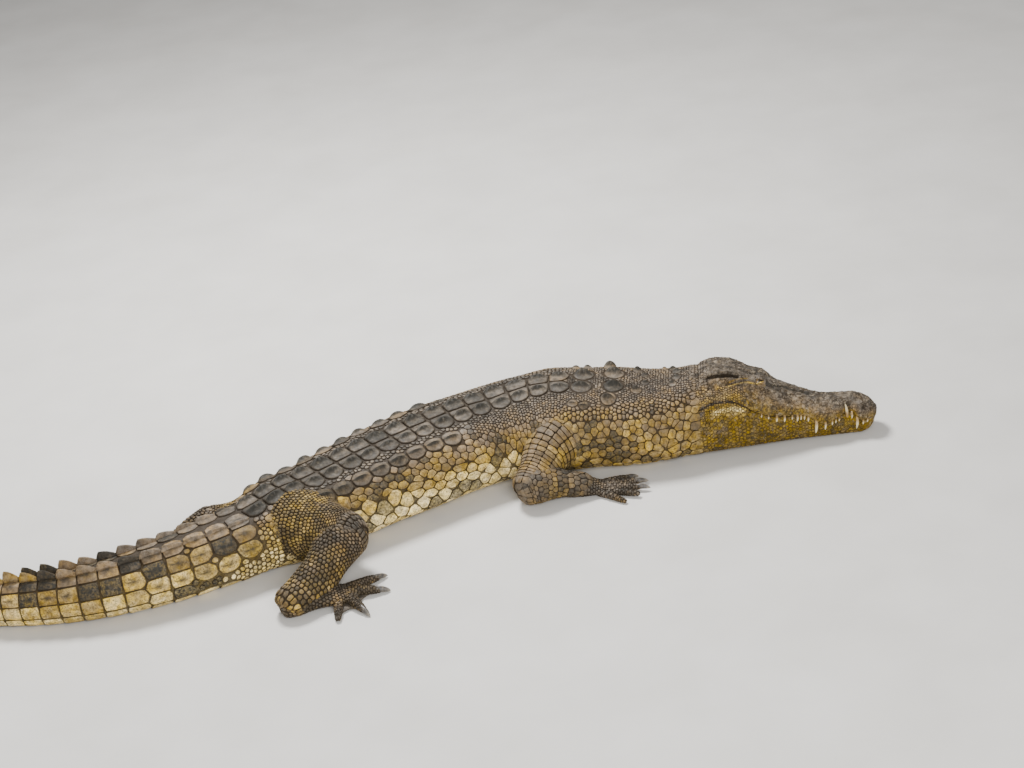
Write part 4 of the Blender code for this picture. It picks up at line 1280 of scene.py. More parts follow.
def plate_set(place_at, rng, kind, dome, edge, piece, **more):
    """Plate middles with the shape that they all share: heights in metres, corner the sharpness of
    their corners, cap how far past its size a plate may reach, aspect its length over its width."""
    count = len(place_at["u"])
    made = {
        "dome": dome, "edge_height": edge, "keel": 0.0, "corner": 20.0, "lap": 0.0004, "kind": kind,
        "piece": piece, "slate": 0.0, "cap": 1.7, "aspect": 1.0, **more, **place_at,
    }
    made = {key: value if np.ndim(value) else np.full(count, value) for key, value in made.items()}
    made["luck"] = rng.uniform(0, 1, count)
    return made


def joined(sets):
    """Several sets of plates as one."""
    return {key: np.concatenate([s[key] for s in sets]) for key in sets[0]}


def kept(plates, mask):
    """The plates that a mask picks."""
    return {key: value[mask] for key, value in plates.items()}


def clear_of(plates, surface, big, room=1.02):
    """Drops small plates whose middles lie on a big one."""
    spots = surface.base(plates["u"], plates["v"])
    heavy = surface.base(big["u"], big["v"])
    away = np.linalg.norm(spots[:, None] - heavy[None], axis=-1) - big["size"] * room
    return kept(plates, away.min(axis=1) > 0.5 * plates["size"])


def reach_of(which, spots, axis_u, axis_v, plates, turn, neighbours):
    """How far each plate reaches in each direction, in a frame where its aspect is evened out.

    The border with a neighbour stands where both are equally far by power, half of
    (l^2 + R^2 - r^2) / l from the middle; the soft minimum over the neighbours, of a power set by
    corner, rounds the corners."""
    found = np.empty((len(which), len(turn)))
    size = plates["size"]
    neighbours = min(neighbours, len(spots) - 1)
    for start in range(0, len(which), BATCH):
        rows = which[start : start + BATCH]
        own = size[rows][:, None]
        apart = spots[None] - spots[rows][:, None]
        power = (apart ** 2).sum(axis=-1) - size[None] ** 2
        power[np.arange(len(rows)), rows] = np.inf
        near = np.argpartition(power, neighbours - 1, axis=1)[:, :neighbours]
        gap = np.take_along_axis(apart, near[..., None], axis=1)
        stretch = np.sqrt(plates["aspect"][rows])[:, None]
        x, y = ((gap * axis[rows][:, None]).sum(-1) for axis in (axis_u, axis_v))
        off = np.maximum((gap ** 2).sum(axis=-1) - x * x - y * y, 0)
        x, y = x / stretch, y * stretch
        flat = np.hypot(x, y) + 1e-9
        length = np.sqrt(flat * flat + off)
        border = (length ** 2 + own ** 2 - size[near] ** 2) / (2 * length)
        border = np.maximum(border, 0.3 * own)
        facing = (x / flat)[..., None] * np.cos(turn) + (y / flat)[..., None] * np.sin(turn)
        power = plates["corner"][rows][:, None]
        pull = ((np.maximum(facing, 0) / border[..., None]) ** power[..., None]).sum(axis=1)
        widest = plates["cap"][rows][:, None] * own
        found[start : start + BATCH] = (pull + (1 / widest) ** power) ** (-1 / power)
    return found


def dome_faces(corners, rings):
    """Faces of one plate: a fan round its middle, quads between its rings, and its floor."""
    ring = 1 + np.arange(corners)
    after = 1 + (np.arange(corners) + 1) % corners
    fan = np.stack([np.zeros(corners, int), after, ring], axis=-1)
    start = corners * np.arange(rings - 1)[:, None]
    quads = np.stack(
        [start + ring, start + after, start + corners + after, start + corners + ring], axis=-1
    )
    return fan, quads.reshape(-1, 4), ring[None] + (rings - 1) * corners


def add_plates(surface, plates, sizes, piles, colour_of, window):
    """Closed domes on the hide: rings that follow each plate's reach, a foot sunk in the hide.

    Height over the hide is the edge height plus a dome falling with the fourth power of the ring's
    share, a keel as a bell across the plate that fades towards both its ends, and a tilt that lifts
    the rear edge. The window is the stretch of u and v that fills the map."""
    u, v = plates["u"], plates["v"]
    along, around = surface.tangents(u, v)
    axis_u = unit(along)
    axis_v = -np.cross(axis_u, unit(np.cross(around, along)))
    axis_v *= np.sign((axis_v * around).sum(axis=1, keepdims=True))
    spots = surface.base(u, v)
    tint, dark, olive = colour_of(u, v, spots, plates["luck"])
    tint = np.clip(tint + 0.12 * (plates["luck"] - 0.5), 0, 1)
    dark = np.maximum(dark, plates["slate"])
    (u0, u1), (v0, v1) = window
    for number, (rings, corners, neighbours, border, border_width) in enumerate(KINDS):
        turn = 2 * np.pi * np.arange(corners) / corners
        share = np.concatenate([[0.0], np.repeat(rings, corners)])
        turns = np.concatenate([[0.0], np.tile(turn, len(rings))])
        index = np.concatenate([[0], np.tile(np.arange(corners), len(rings))])
        patch = np.stack([share * np.cos(turns), share * np.sin(turns)], axis=-1) * MAP_PATCH
        parts = dome_faces(corners, len(rings))
        count = len(share)
        for piece in sorted(set(plates["piece"])):
            which = np.flatnonzero((plates["kind"] == number) & (plates["piece"] == piece))
            if not len(which):
                continue
            reach = reach_of(which, spots, axis_u, axis_v, plates, turn, neighbours)
            reach = reach * (1 - sizes.gap) - CREASE
            shape = ("dome", "edge_height", "keel", "lap", "aspect")
            dome, edge_height, peak, lap, aspect = (plates[key][which][:, None] for key in shape)
            far, stretch = reach[:, index] * share, np.sqrt(aspect)
            x, y = far * np.cos(turns) * stretch, far * np.sin(turns) / stretch
            mean = reach.mean(axis=1, keepdims=True) * np.sqrt(stretch)
            blade = np.clip(1 - (1.15 * x / mean - 0.12) ** 2, 0, 1) ** 0.8
            keel = peak * np.exp(-np.abs(y / (KEEL_WIDTH * mean)) ** 1.2) * blade
            high = edge_height + dome * (1 - share ** 4) + keel * (1 - share ** 6) + lap * x / mean
            high = np.where(share >= 1, FOOT_DEPTH, high)
            stretch_u = np.linalg.norm(along[which], axis=1)[:, None]
            skew, stretch_v = (
                (around[which] * axis[which]).sum(axis=1)[:, None] for axis in (axis_u, axis_v)
            )
            step_v = y / stretch_v
            step_u = (x - skew * step_v) / stretch_u
            at_u, at_v = u[which][:, None] + step_u, v[which][:, None] + step_v
            points = surface.points(at_u.ravel(), at_v.ravel(), high.ravel()).reshape(-1, count, 3)
            clear = points[..., 2].max(axis=1) > FLAT
            which, keel, points = which[clear], keel[clear], points[clear].reshape(-1, 3)
            # Painted shade on the crest of each keel: where a keel stands high, top takes the plate
            # towards charcoal.
            top = ramp(keel, 0.0015, 0.0050) * ramp(keel / (peak[clear] + 1e-6), 0.12, 0.42)
            start = (np.arange(len(which)) * count)[:, None, None]
            faces = [(part[None] + start).reshape(-1, part.shape[1]) for part in parts]
            root = np.stack([(u[which] - u0) / (u1 - u0), (v[which] - v0) / (v1 - v0)], axis=-1)
            spot = 0.01 + 0.98 * root[:, None, :] + patch[None]
            # Painted shade on each plate's rim, where it dips under the hide: edge takes it towards
            # the crease colour.
            edge = np.clip((share - border) / border_width, 0, 1)
            values = {"tint": tint, "dark": dark, "tone": plates["luck"], "olive": olive}
            piles.setdefault(piece, Pile()).add(
                points, faces, spot.reshape(-1, 2), edge=np.tile(edge, len(which)), bare=0,
                top=top.ravel(), **{key: np.repeat(x[which], count) for key, x in values.items()},
            )


SCUTE_STEP, SCUTE_WIDTH, SCUTE_ASPECT = 0.0665, 0.079, 0.842  # of the two columns along the back
# Shields of the nape and neck: distance, arc to each side, reach and keel height in metres.
NECK_SHIELDS = (
    (0.604, 0.024, 0.017, 0.009), (0.614, 0.060, 0.015, 0.010), (0.640, 0.092, 0.011, 0.007),
    (0.700, 0.026, 0.014, 0.007), (0.726, 0.068, 0.018, 0.015), (0.797, 0.040, 0.036, 0.021),
    (0.812, 0.104, 0.027, 0.021), (0.892, 0.038, 0.037, 0.021), (0.885, 0.128, 0.016, 0.008),
    (0.918, 0.118, 0.016, 0.009),
)


def dorsal_scutes(rng):
    """Keeled scutes: two wide columns along the back, a looser one on each side among the grains,
    and the shields of the nape and neck. A scute's row holds its distance, arc to the side, reach,
    keel height, aspect and chance of being dark."""
    rows = []
    for s in np.arange(TRUNK_START + 0.035, TAIL_START + 0.02, SCUTE_STEP):
        narrow = np.interp(s, (0.95, 1.15, 1.8, 2.05), (0.86, 1.0, 0.95, 0.72))
        size = 0.51 * np.sqrt(SCUTE_STEP * SCUTE_WIDTH * narrow)
        keel = np.interp(s, (1.0, 1.2), (0.0140, 0.0175))
        rows.append((s, SCUTE_WIDTH / 2 * narrow, size, keel, SCUTE_ASPECT / narrow, 0.42))
        if 1.33 < s < 1.99:
            rows.append((s + 0.012, 0.124 * narrow, 0.031 * narrow ** 0.5, 0.0130, 1.25, 0.85))
    rows += [(s, arc, size, keel, 1.0, 0.4) for s, arc, size, keel in NECK_SHIELDS]
    s, arc, size, keel, aspect, dark = np.repeat(np.array(rows).T, 2, axis=1)
    side = np.tile((-1.0, 1.0), len(rows))
    lean = np.interp(s, (0.56, 0.70, 0.90), (0.012, 0.008, 0.0))
    u = s + rng.uniform(-0.003, 0.003, len(s))
    v = (side * arc + lean) / upper_arc(s)
    keel = keel * rng.uniform(0.80, 1.15, len(s))
    plain = 0.34 * ramp(s, 0.74, 0.86) * (1 - 0.8 * hill(s, 1.5, 0.18))
    slate = np.where(rng.uniform(size=len(s)) < dark * 0.45, 0.85, plain)
    edge = np.where(s < 0.95, 0.0012, 0.0030)
    return plate_set(
        {"u": u, "v": v, "size": size, "aspect": aspect}, rng, SCUTE, 0.0014, edge, "scutes",
        keel=keel, slate=slate, cap=1.5,
    )


def tail_edges():
    """Where each whorl of the tail starts and the last one ends; each is a little shorter."""
    lengths = np.linspace(1.0, 0.42, WHORLS)
    return TAIL_START + running(lengths * ((LENGTH - TAIL_START) / lengths.sum()))


def crest_at(s):
    """How far each row of the crest stands from the middle, and how high."""
    rows = np.array(CREST).T
    return (np.interp(s, rows[0], row) for row in rows[1:])


def tail_plates(rng):
    """Rectangular plates in whorls, from beside the crest to under the tail."""
    edges = tail_edges()
    found = []
    for low, high in zip(edges, edges[1:]):
        s = (low + high) / 2
        upper, lower = upper_arc(s), np.interp(s, ARC_S, ARC_LOWER)
        offset, _ = crest_at(s)
        start = 0.4 * offset / upper
        width = np.interp(s, (2.06, 2.4, 3.0, 3.6), (0.050, 0.050, 0.034, 0.018))
        number = max(3, int(round((upper * (1 - start) + lower) / width)))
        v = start + (2 - start) * (np.arange(number) + 0.5) / number
        size, aspect = 0.5 * np.sqrt((high - low) * width), (high - low) / width
        for side in (-1, 1):
            row = np.stack(np.broadcast_arrays(s, side * v, size, aspect), axis=1)
            found.append(row)
    u, v, size, aspect = np.concatenate(found).T
    v = v * (1 + rng.uniform(-0.010, 0.010, len(v)))
    turn = np.abs(v)
    haunch = (u < 2.26) & (turn > 0.72 + 2.2 * (u - 2.06)) & (turn < 1.42)
    place_at = kept({"u": u, "v": v, "size": size, "aspect": aspect}, ~haunch)
    thin = 1 - 0.5 * ramp(place_at["u"], 2.4, 3.5)
    keel = (0.0045 * (np.abs(place_at["v"]) < 0.95) + 0.0008) * thin
    tail = plate_set(
        place_at, rng, PLATE, 0.0008 * thin, 0.0026 * thin, "scales_tail", keel=keel, corner=40.0,
        lap=0.0013 * thin, cap=1.5,
    )
    wider = lambda s, v: 0.0120 + 0.008 * ramp(v, 0.9, 1.3)
    fine = rows_of(BODY_HIDE, np.arange(2.02, 2.30, 0.0125), 0.36, 1.46, wider, rng, 0.2)
    fine = plate_set(fine, rng, GRAIN, 0.0018, 0.0016, "scales_haunch")
    return [tail, clear_of(fine, BODY_HIDE, tail, 1.34)]


# Bands of plates: piece, where the rows start and end along the body and their step, the share of
# the turn where they start and end, width of a plate, kind, dome and edge height, how shaken.
BODY_BANDS = (
    # neck: fine grains above, growing to six-sided plates at its side and at the throat
    ("scales_nape", 0.560, 0.960, 0.0080, 0.0, 0.42, lambda s, v: 0.0085 + 0.005 * v,
     GRAIN, 0.0018, 0.0010, 0.3),
    ("scales_nape", 0.555, 0.965, 0.0125, 0.43, 0.62,
     lambda s, v: 0.0120 + 0.006 * ramp(v, 0.45, 0.62), GRAIN, 0.0022, 0.0014, 0.28),
    ("scales_neck", 0.553, 0.970, 0.0190, 0.64, 0.80, 0.0185, PLATE, 0.0018, 0.0022, 0.12),
    ("scales_neck", 0.556, 0.970, 0.0235, 0.82, 1.04, 0.0235, PLATE, 0.0018, 0.0026, 0.08),
    ("scales_throat", 0.560, 0.980, 0.0300, 1.07, 2.0, lambda s, v: 0.0290 + 0.003 * v,
     PLATE, 0.0014, 0.0026, 0.10),
    # fore trunk: grains beside the scutes, then small plates
    ("scales_flank", 0.955, 1.300, 0.0105, lambda s: np.interp(s, (0.93, 1.1), (0.18, 0.27)), 0.56,
     lambda s, v: 0.0100 + 0.004 * ramp(v, 0.4, 0.56), GRAIN, 0.0020, 0.0012, 0.28),
    ("scales_flank", 0.975, 1.300, 0.0165, 0.58, 0.72, 0.0160, PLATE, 0.0018, 0.0018, 0.20),
    ("scales_side", 0.980, 1.300, 0.0240, 0.74, 0.84, 0.0210, PLATE, 0.0018, 0.0024, 0.15),
    ("scales_side", 0.985, 1.300, 0.0340, 0.87, 0.99, 0.0290, PLATE, 0.0018, 0.0032, 0.12),
    # rear trunk: square plates in rows from beside the scutes down, large at the belly's edge
    ("scales_flank", 1.308, 2.030, 0.0125, 0.27, 0.35, 0.0115, GRAIN, 0.0016, 0.0014, 0.24),
    ("scales_side", 1.308, 2.025, 0.0215, 0.37, 0.60, 0.0190, PLATE, 0.0016, 0.0022, 0.13),
    ("scales_side", 1.310, 2.025, 0.0270, 0.62, 0.77, 0.0240, PLATE, 0.0018, 0.0028, 0.12),
    ("scales_belly", 1.312, 2.025, 0.0420, 0.80, 0.98, 0.0320, PLATE, 0.0020, 0.0036, 0.10),
    ("scales_belly", 0.990, 2.030, 0.0400, 1.02, 1.17, 0.0310, PLATE, 0.0018, 0.0034, 0.10),
    ("scales_belly", 0.980, 2.030, 0.0330, 1.21, 2.0, 0.0300, PLATE, 0.0008, 0.0026, 0.04),
)
# Low plates where the head is scaled: its jaws, cheeks, temples and back.
HEAD_BANDS = (
    ("scales_head", 0.400, 0.548, 0.0075, 0.60, 1.02, 0.0078, GRAIN, 0.0014, 0.0006, 0.22),
    ("scales_head", 0.515, 0.552, 0.0085, 0.0, 0.58, 0.0085, GRAIN, 0.0012, 0.0006, 0.22),
    ("scales_head", 0.385, 0.548, 0.0110, 1.06, 1.45, lambda s, v: 0.0110 + 0.001 * v,
     GRAIN, 0.0012, 0.0007, 0.22),
    ("scales_head", 0.045, 0.385, 0.0100, 1.12, 1.45, 0.0100, GRAIN, 0.0007, 0.0006, 0.22),
    ("scales_head", 0.050, 0.550, 0.0140, 1.48, 2.0, 0.0140, GRAIN, 0.0007, 0.0007, 0.22),
)


def band(rng, piece, start, end, step, low, high, pitch, kind, dome, edge, jitter, **more):
    """Plates over a stretch of the body: rows a step apart, from low to high, each a pitch wide."""
    spots = rows_of(BODY_HIDE, np.arange(start, end, step), low, high, pitch, rng, jitter)
    return plate_set(spots, rng, kind, dome, edge, piece, **more)


def body_plates(rng):
    """Every plate of the body: scutes first, and smaller ones wherever those leave room."""
    scutes = dorsal_scutes(rng)
    small = [band(rng, *row) for row in BODY_BANDS]
    tail, fine = tail_plates(rng)
    clear = [clear_of(plates, BODY_HIDE, scutes) for plates in (*small, tail)]
    return joined([scutes, *clear, fine])


# Plates of each tube of a limb: step along and width round in metres, kind, dome and edge height.
LIMB_PLATES = {
    "arm": (
        (0.0135, 0.0340, PLATE, 0.0016, 0.0032), (0.0140, 0.0165, PLATE, 0.0018, 0.0018),
        (0.0085, 0.0100, GRAIN, 0.0014, 0.0012),
    ),
    "leg": (
        (0.0090, 0.0100, GRAIN, 0.0022, 0.0012), (0.0110, 0.0125, GRAIN, 0.0024, 0.0014),
        (0.0095, 0.0105, GRAIN, 0.0018, 0.0012),
    ),
}
TOE_PLATES = (0.0075, 0.0120, GRAIN, 0.0010, 0.0012)


def limb_plates(tube, rng, plan, piece):
    """Plates round a limb in rings: bricks, or in line where they are much wider than long."""
    step, width, kind, dome, edge = plan
    stations = np.arange(-0.5 * tube.cap, 1.0 + 0.7 * tube.cap, step / tube.length)
    banded = width > 2 * step
    spots = rows_of(tube, stations, 0.0, 2.0, width, rng, 0.05 if banded else 0.15, not banded)
    return plate_set(spots, rng, kind, dome, edge, piece, lap=0.0012 if banded else 0.0004)


def outside(plates, surface, others, slack=0.002):
    """Plates whose middles are clear of the other surfaces."""
    spots = surface.points(plates["u"], plates["v"])
    keep = np.ones(len(spots), bool)
    for other in others:
        keep &= other.gap(spots) > -slack
    return kept(plates, keep)


def coat(u, v, points, luck):
    """Tint, darkness and olive of the body's plates."""
    return painted(u, v, body_tint(u, v, points), body_dark(u, v, points, luck))


def face_coat(u, v, points, luck):
    """The same for the head's plates: darker in patches, and some plates of the jaws less olive."""
    dark = 0.80 * ramp(noise(points, 0.016, 71) + luck * 0.6, 0.58, 0.80)
    tint, dark, olive = painted(u, v, body_tint(u, v, points), dark)
    return tint, dark, olive * (1 - 0.55 * ramp(np.abs(2 * luck - 1), 0.5, 0.9) * (luck < 0.5))


def limb_coat(tube):
    """The same for a limb's plates, which have no olive."""
    return lambda u, v, points, luck: (
        limb_tint(tube, u, v, points), limb_dark(tube, u, v, points, luck), 0 * u
    )


def add_scales(sizes, colours):
    """Lays the whole coat: body, head and limbs, then one object for each group of plates."""
    rng = np.random.default_rng(7)
    piles = {}
    tubes = [t for leg in LEGS.values() for t in leg["tubes"]]
    plates = outside(body_plates(rng), BODY_HIDE, tubes)
    add_plates(BODY_HIDE, plates, sizes, piles, coat, ((0.0, LENGTH), (-2.0, 2.0)))
    plates = joined([band(rng, *row, lap=0.0002) for row in HEAD_BANDS])
    add_plates(BODY_HIDE, plates, sizes, piles, face_coat, ((0.0, FACE_END), (-2.0, 2.0)))
    for name, leg in LEGS.items():
        parts = (*leg["tubes"], *leg["toes"])
        for k, tube in enumerate(parts):
            others = [BODY_HIDE] + [t for t in parts if t is not tube]
            plan = LIMB_PLATES[name[:3]][k] if k < 3 else TOE_PLATES
            plates = outside(limb_plates(tube, rng, plan, "scales_" + name), tube, others)
            if not len(plates["u"]):
                continue
            left, low = -0.1 - k % 3 * 1.25, -2.0 - k // 3 * 4.2
            window = ((left, left + 4.0), (low, low + 14.0))
            add_plates(tube, plates, sizes, piles, limb_coat(tube), window)
    material = hide_material("plates", colours)
    for piece, pile in sorted(piles.items()):
        obj = pile.build(piece, material)
        leg = piece.startswith(("scales_arm", "scales_leg"))


def crest_flap(low, high, side, single, peak):
    """One flap's rings: a fin that rises along the whorl as a quarter sine to its rear and drops
    off, with a lens-shaped section, thinner above; and the painted shade at its foot and ends."""
    s = (low + high) / 2
    offset, _ = crest_at(s)
    p, q = np.linspace(0, 1, 13)[:, None], circle(10)
    above, end = 0.5 + 0.5 * np.cos(q), np.abs(2 * p - 1)
    along = low + (high - low) * (0.01 + 1.03 * p)
    rise = 0.30 + 0.70 * np.sin(np.pi / 2 * np.clip(p / 0.80, 0, 1))
    profile = peak * rise * (1 - 0.75 * ramp(p, 0.86, 1.0))
    thick = (0.0052 if single else 0.0060) * (1 - 0.45 * ramp(s, 2.8, 3.6))
    tip = np.clip((1 - end ** 8), 0.05, 1)
    height = profile * above - 0.004 * (0.5 - 0.5 * np.cos(q))
    width = thick * np.sin(q) * (1.15 - 0.75 * above) * tip
    across = side * offset + width + side * 0.0015 * np.cos(q)
    wide = body_half(np.full(1, s), np.ones(1))[0, 0]
    power = 1 / np.interp(s, *zip(*BODY_BOX))
    w = 2 / np.pi * np.arcsin(np.clip(offset * abs(side) / wide, 0, 1) ** power)
    top = body_half(along.ravel(), np.full(along.size, w))[1][:, None]
    spots = pairs_of(
        0.02 + 0.96 * (along - TAIL_START) / 1.6, 0.5 + 0.15 * side + 0.05 * np.cos(q)
    )
    # Painted shade at the flap's foot, where it meets the tail, and at its ends, between flaps.
    edge = 0.9 * (1 - ramp(np.cos(q), -1.0, -0.5)) + 0.5 * ramp(end, 0.85, 1.0)
    return place(along, across, top + height - 0.002), spots, np.clip(edge, 0, 1)


def add_crest(colours):
    """Upright flaps along the tail: two rows that meet in one, a flap of each row to a whorl."""
    rng = np.random.default_rng(19)
    pile = Pile()
    edges = tail_edges()
    for low, high in zip(edges, edges[1:]):
        s = (low + high) / 2
        _, peak = crest_at(s)
        single = s > CREST_MERGE
        for side in ((0,) if single else (-1, 1)):
            height = peak * rng.uniform(0.92, 1.12) + 0.004
            points, spots, edge = crest_flap(low, high, side, single, height)
            luck = rng.uniform()
            tint = 0.20 + 0.42 * ramp(s, 2.4, 2.9) * rng.uniform(0.6, 1.0)
            add_tube(
                pile, points, spots, tint=tint, dark=float(luck < 0.34), tone=luck, edge=edge,
                bare=0, top=0, olive=0,
            )
    crest = pile.build("tail_crest", hide_material("plates", colours))


# --- Materials ---


class Graph:
    """Short names for a material's nodes and links; a colour or number may be plain or a socket."""

    def __init__(self, name):
        self.material = bpy.data.materials.new(name)
        self.material.use_nodes = True
        self.tree = self.material.node_tree
        self.shader = self.tree.nodes["Principled BSDF"]
        self.place = self.node("ShaderNodeTexCoord").outputs["Object"]

    def node(self, kind, **settings):
        """A new node with its settings."""
        made = self.tree.nodes.new(kind)
        for key, value in settings.items():
            setattr(made, key, value)
        return made

    def feed(self, socket, item):
        """Gives a socket what it takes: a link, a colour or a number."""
        if isinstance(item, bpy.types.NodeSocket):
            self.tree.links.new(item, socket)
        else:
            socket.default_value = item if isinstance(item, (int, float)) else (*item[:3], 1.0)

    def textured(self, made, **numbers):
        """Sets a texture's numbers and lays it on the object's own coordinates."""
        for key, number in numbers.items():
            made.inputs[key].default_value = number
        self.feed(made.inputs["Vector"], self.place)
        return made

    def value(self, name):
        """A value that the mesh carries at its points."""
        return self.node("ShaderNodeAttribute", attribute_name=name).outputs["Fac"]

    def noise(self, scale, detail=3.0, rough=0.55):
        """Fractal noise, 0 to 1."""
        made = self.node("ShaderNodeTexNoise")
        return self.textured(made, Scale=scale, Detail=detail, Roughness=rough).outputs["Fac"]

    def span(self, source, low, high, start=0.0, end=1.0):
        """From start to end as the source goes from low to high, as an S curve."""
        made = self.node("ShaderNodeMapRange", interpolation_type="SMOOTHSTEP")
        self.feed(made.inputs["Value"], source)
        ends = {"From Min": low, "From Max": high, "To Min": start, "To Max": end}
        for key, number in ends.items():
            made.inputs[key].default_value = number
        return made.outputs["Result"]

    def math(self, operation, a, b):
        """One sum."""
        made = self.node("ShaderNodeMath", operation=operation)
        self.feed(made.inputs[0], a)
        self.feed(made.inputs[1], b)
        return made.outputs[0]

    def times(self, a, b):
        """A product."""
        return self.math("MULTIPLY", a, b)

    def mix(self, share, first, second):
        """The first colour passing into the second."""
        made = self.node("ShaderNodeMix", data_type="RGBA")
        self.feed(made.inputs["Factor"], share)
        self.feed(made.inputs[6], first)
        self.feed(made.inputs[7], second)
        return made.outputs[2]

    def ramp(self, source, stops):
        """Colours at places from 0 to 1."""
        made = self.node("ShaderNodeValToRGB")
        elements = made.color_ramp.elements
        for element, (position, colour) in zip(elements, (stops[0], stops[-1])):
            element.position, element.color = position, (*colour[:3], 1.0)
        for position, colour in stops[1:-1]:
            elements.new(position).color = (*colour[:3], 1.0)
        self.feed(made.inputs["Fac"], source)
        return made.outputs["Color"]

    def bump(self, height, strength, distance, before=None):
        """Relief over the relief before it."""
        made = self.node("ShaderNodeBump")
        made.inputs["Strength"].default_value = strength
        made.inputs["Distance"].default_value = distance
        self.feed(made.inputs["Height"], height)
        if before is not None:
            self.feed(made.inputs["Normal"], before)
        return made.outputs["Normal"]

    def finish(self, **finishes):
        """Sets the shader's own sockets, named with _ for a space, and returns the material."""
        for key, item in finishes.items():
            self.feed(self.shader.inputs[key.replace("_", " ")], item)
        return self.material


def hide_material(name, colours):
    """Horn and hide: the tint picks a colour from slate to pale yellow, whole plates go charcoal,
    with specks, stains, painted shade in the creases and on the keels' crests, fine pits and
    wrinkles; bare hide has a net of cracks."""
    if name in bpy.data.materials:
        return bpy.data.materials[name]
    g = Graph(name)
    tint, bare = g.value("tint"), g.value("bare")
    wander = g.math("ADD", tint, g.span(g.noise(30.0, 4.0), 0.3, 0.7, -0.07, 0.07))
    colour = g.ramp(wander, [
        (0.0, colours.slate), (0.16, colours.taupe), (0.32, colours.brown), (0.48, colours.tan),
        (0.68, colours.gold), (0.86, colours.yellow), (1.0, colours.pale),
    ])
    colour = g.mix(g.value("olive"), colour, colours.ochre)
    shade = g.node("ShaderNodeHueSaturation")
    g.feed(shade.inputs["Color"], colour)
    tone = g.span(g.value("tone"), 0, 1, 0.78, 1.20)
    g.feed(shade.inputs["Value"], g.times(tone, g.span(g.noise(60.0), 0.3, 0.7, 0.74, 1.24)))
    g.feed(shade.inputs["Saturation"], g.span(g.noise(38.0), 0.3, 0.7, 0.88, 1.15))
    colour = shade.outputs["Color"]
    specks = g.span(g.noise(200.0, 3.0, 0.75), 0.52, 0.62)
    colour = g.mix(g.times(specks, g.span(tint, 0.30, 0.60, 0.30, 0.75)), colour, colours.speck)
    stain = g.span(g.noise(95.0, 4.0, 0.65), 0.48, 0.62)
    colour = g.mix(g.times(stain, g.span(bare, 0, 1, 0.40, 0.64)), colour, colours.speck)
    dark, worn = g.value("dark"), g.span(g.noise(130.0, 3.0), 0.35, 0.62, 1.0, 0.75)
    colour = g.mix(g.times(dark, worn), colour, colours.charcoal)
    # Painted shade on the keels' crests: top mixes them towards charcoal.
    colour = g.mix(g.times(g.value("top"), 0.90), colour, colours.charcoal)
    dust = g.span(g.noise(75.0, 4.0, 0.6), 0.52, 0.66)
    colour = g.mix(g.times(dust, g.span(bare, 0, 1, 0.12, 0.55)), colour, colours.dust)
    net = g.textured(g.node("ShaderNodeTexVoronoi", feature="DISTANCE_TO_EDGE"), Scale=115.0)
    crack = g.times(g.span(net.outputs["Distance"], 0.0, 0.14, 1.0, 0.0), bare)
    crack = g.times(crack, g.span(g.noise(26.0), 0.40, 0.58, 0.10, 1.0))
    # Painted shade in the cracks of bare hide, which the same net bumps in below.
    colour = g.mix(g.times(crack, 0.72), colour, colours.crease)
    # Painted shade in the creases: edge takes plates' rims, the hide between and under them, the
    # face's folds and the lids' folds towards the crease colour.
    colour = g.mix(g.span(g.value("edge"), 0.25, 1.0, 0.0, 0.88), colour, colours.crease)
    rough = g.span(g.noise(80.0), 0.3, 0.7, 0.50, 0.74)
    pits = g.bump(g.noise(420.0, 4.0, 0.6), 0.6, 0.0007)
    wrinkles = g.bump(g.noise(150.0, 5.0, 0.7), 0.55, 0.0014, pits)
    fissures = g.bump(g.times(crack, -1.0), 0.8, 0.0012, wrinkles)
    return g.finish(Base_Color=colour, Roughness=rough, Specular_IOR_Level=0.14, Normal=fissures)


def eye_material(name, colours):
    """Gold iris with dark flecks and rim, a slit pupil, and a wet gloss."""
    g = Graph(name + "_gloss")
    side_on, upright, polar = g.value("side_on"), g.value("upright"), g.value("polar")
    flecks = g.ramp(g.noise(600.0, 3.0), [(0.3, colours.iris), (0.7, colours.iris_dark)])
    colour = g.mix(g.span(polar, 0.52, 0.70), flecks, colours.eye_rim)
    beside = g.math("ABSOLUTE", side_on, 0.0)
    bow = g.times(g.math("POWER", upright, 2.0), 0.5)
    pupil = g.span(g.math("ADD", beside, bow), 0.05, 0.09, 1.0, 0.0)
    colour = g.mix(pupil, colour, colours.pupil)
    return g.finish(
        Base_Color=colour, Roughness=0.30, Specular_IOR_Level=0.35, Coat_Weight=0.12,
        Coat_Roughness=0.12,
    )


def tooth_material(colours):
    """Ivory, browner and streaked towards the gum, with fine lines along it."""
    g = Graph("ivory")
    colour = g.mix(g.span(g.value("out"), 0.0, 0.45), colours.tooth_root, colours.tooth)
    stain = g.times(g.span(g.noise(260.0, 4.0), 0.5, 0.7), 0.4)
    colour = g.mix(stain, colour, colours.tooth_root)
    return g.finish(Base_Color=colour, Roughness=0.32, Normal=g.bump(g.noise(500.0), 0.25, 0.0004))


def claw_material(colours):
    """Dark horn with worn, paler tips and lengthwise grain."""
    if "horn" in bpy.data.materials:
        return bpy.data.materials["horn"]
    g = Graph("horn")
    colour = g.mix(g.span(g.value("out"), 0.45, 1.0), colours.claw, colours.claw_tip)
    mud = g.times(g.span(g.noise(180.0, 4.0), 0.45, 0.7), 0.5)
    colour = g.mix(mud, colour, colours.dust)
    grain = g.bump(g.noise(300.0, 4.0), 0.4, 0.0005)
    return g.finish(Base_Color=colour, Roughness=0.42, Normal=grain)


# --- Stage ---


LIGHT_AIM = np.array([0.2, 0.1, 0.1])  # the point that the lights face


def linked(name, data):
    """A new object of the scene."""
    obj = bpy.data.objects.new(name, data)
    bpy.context.scene.collection.objects.link(obj)
    return obj


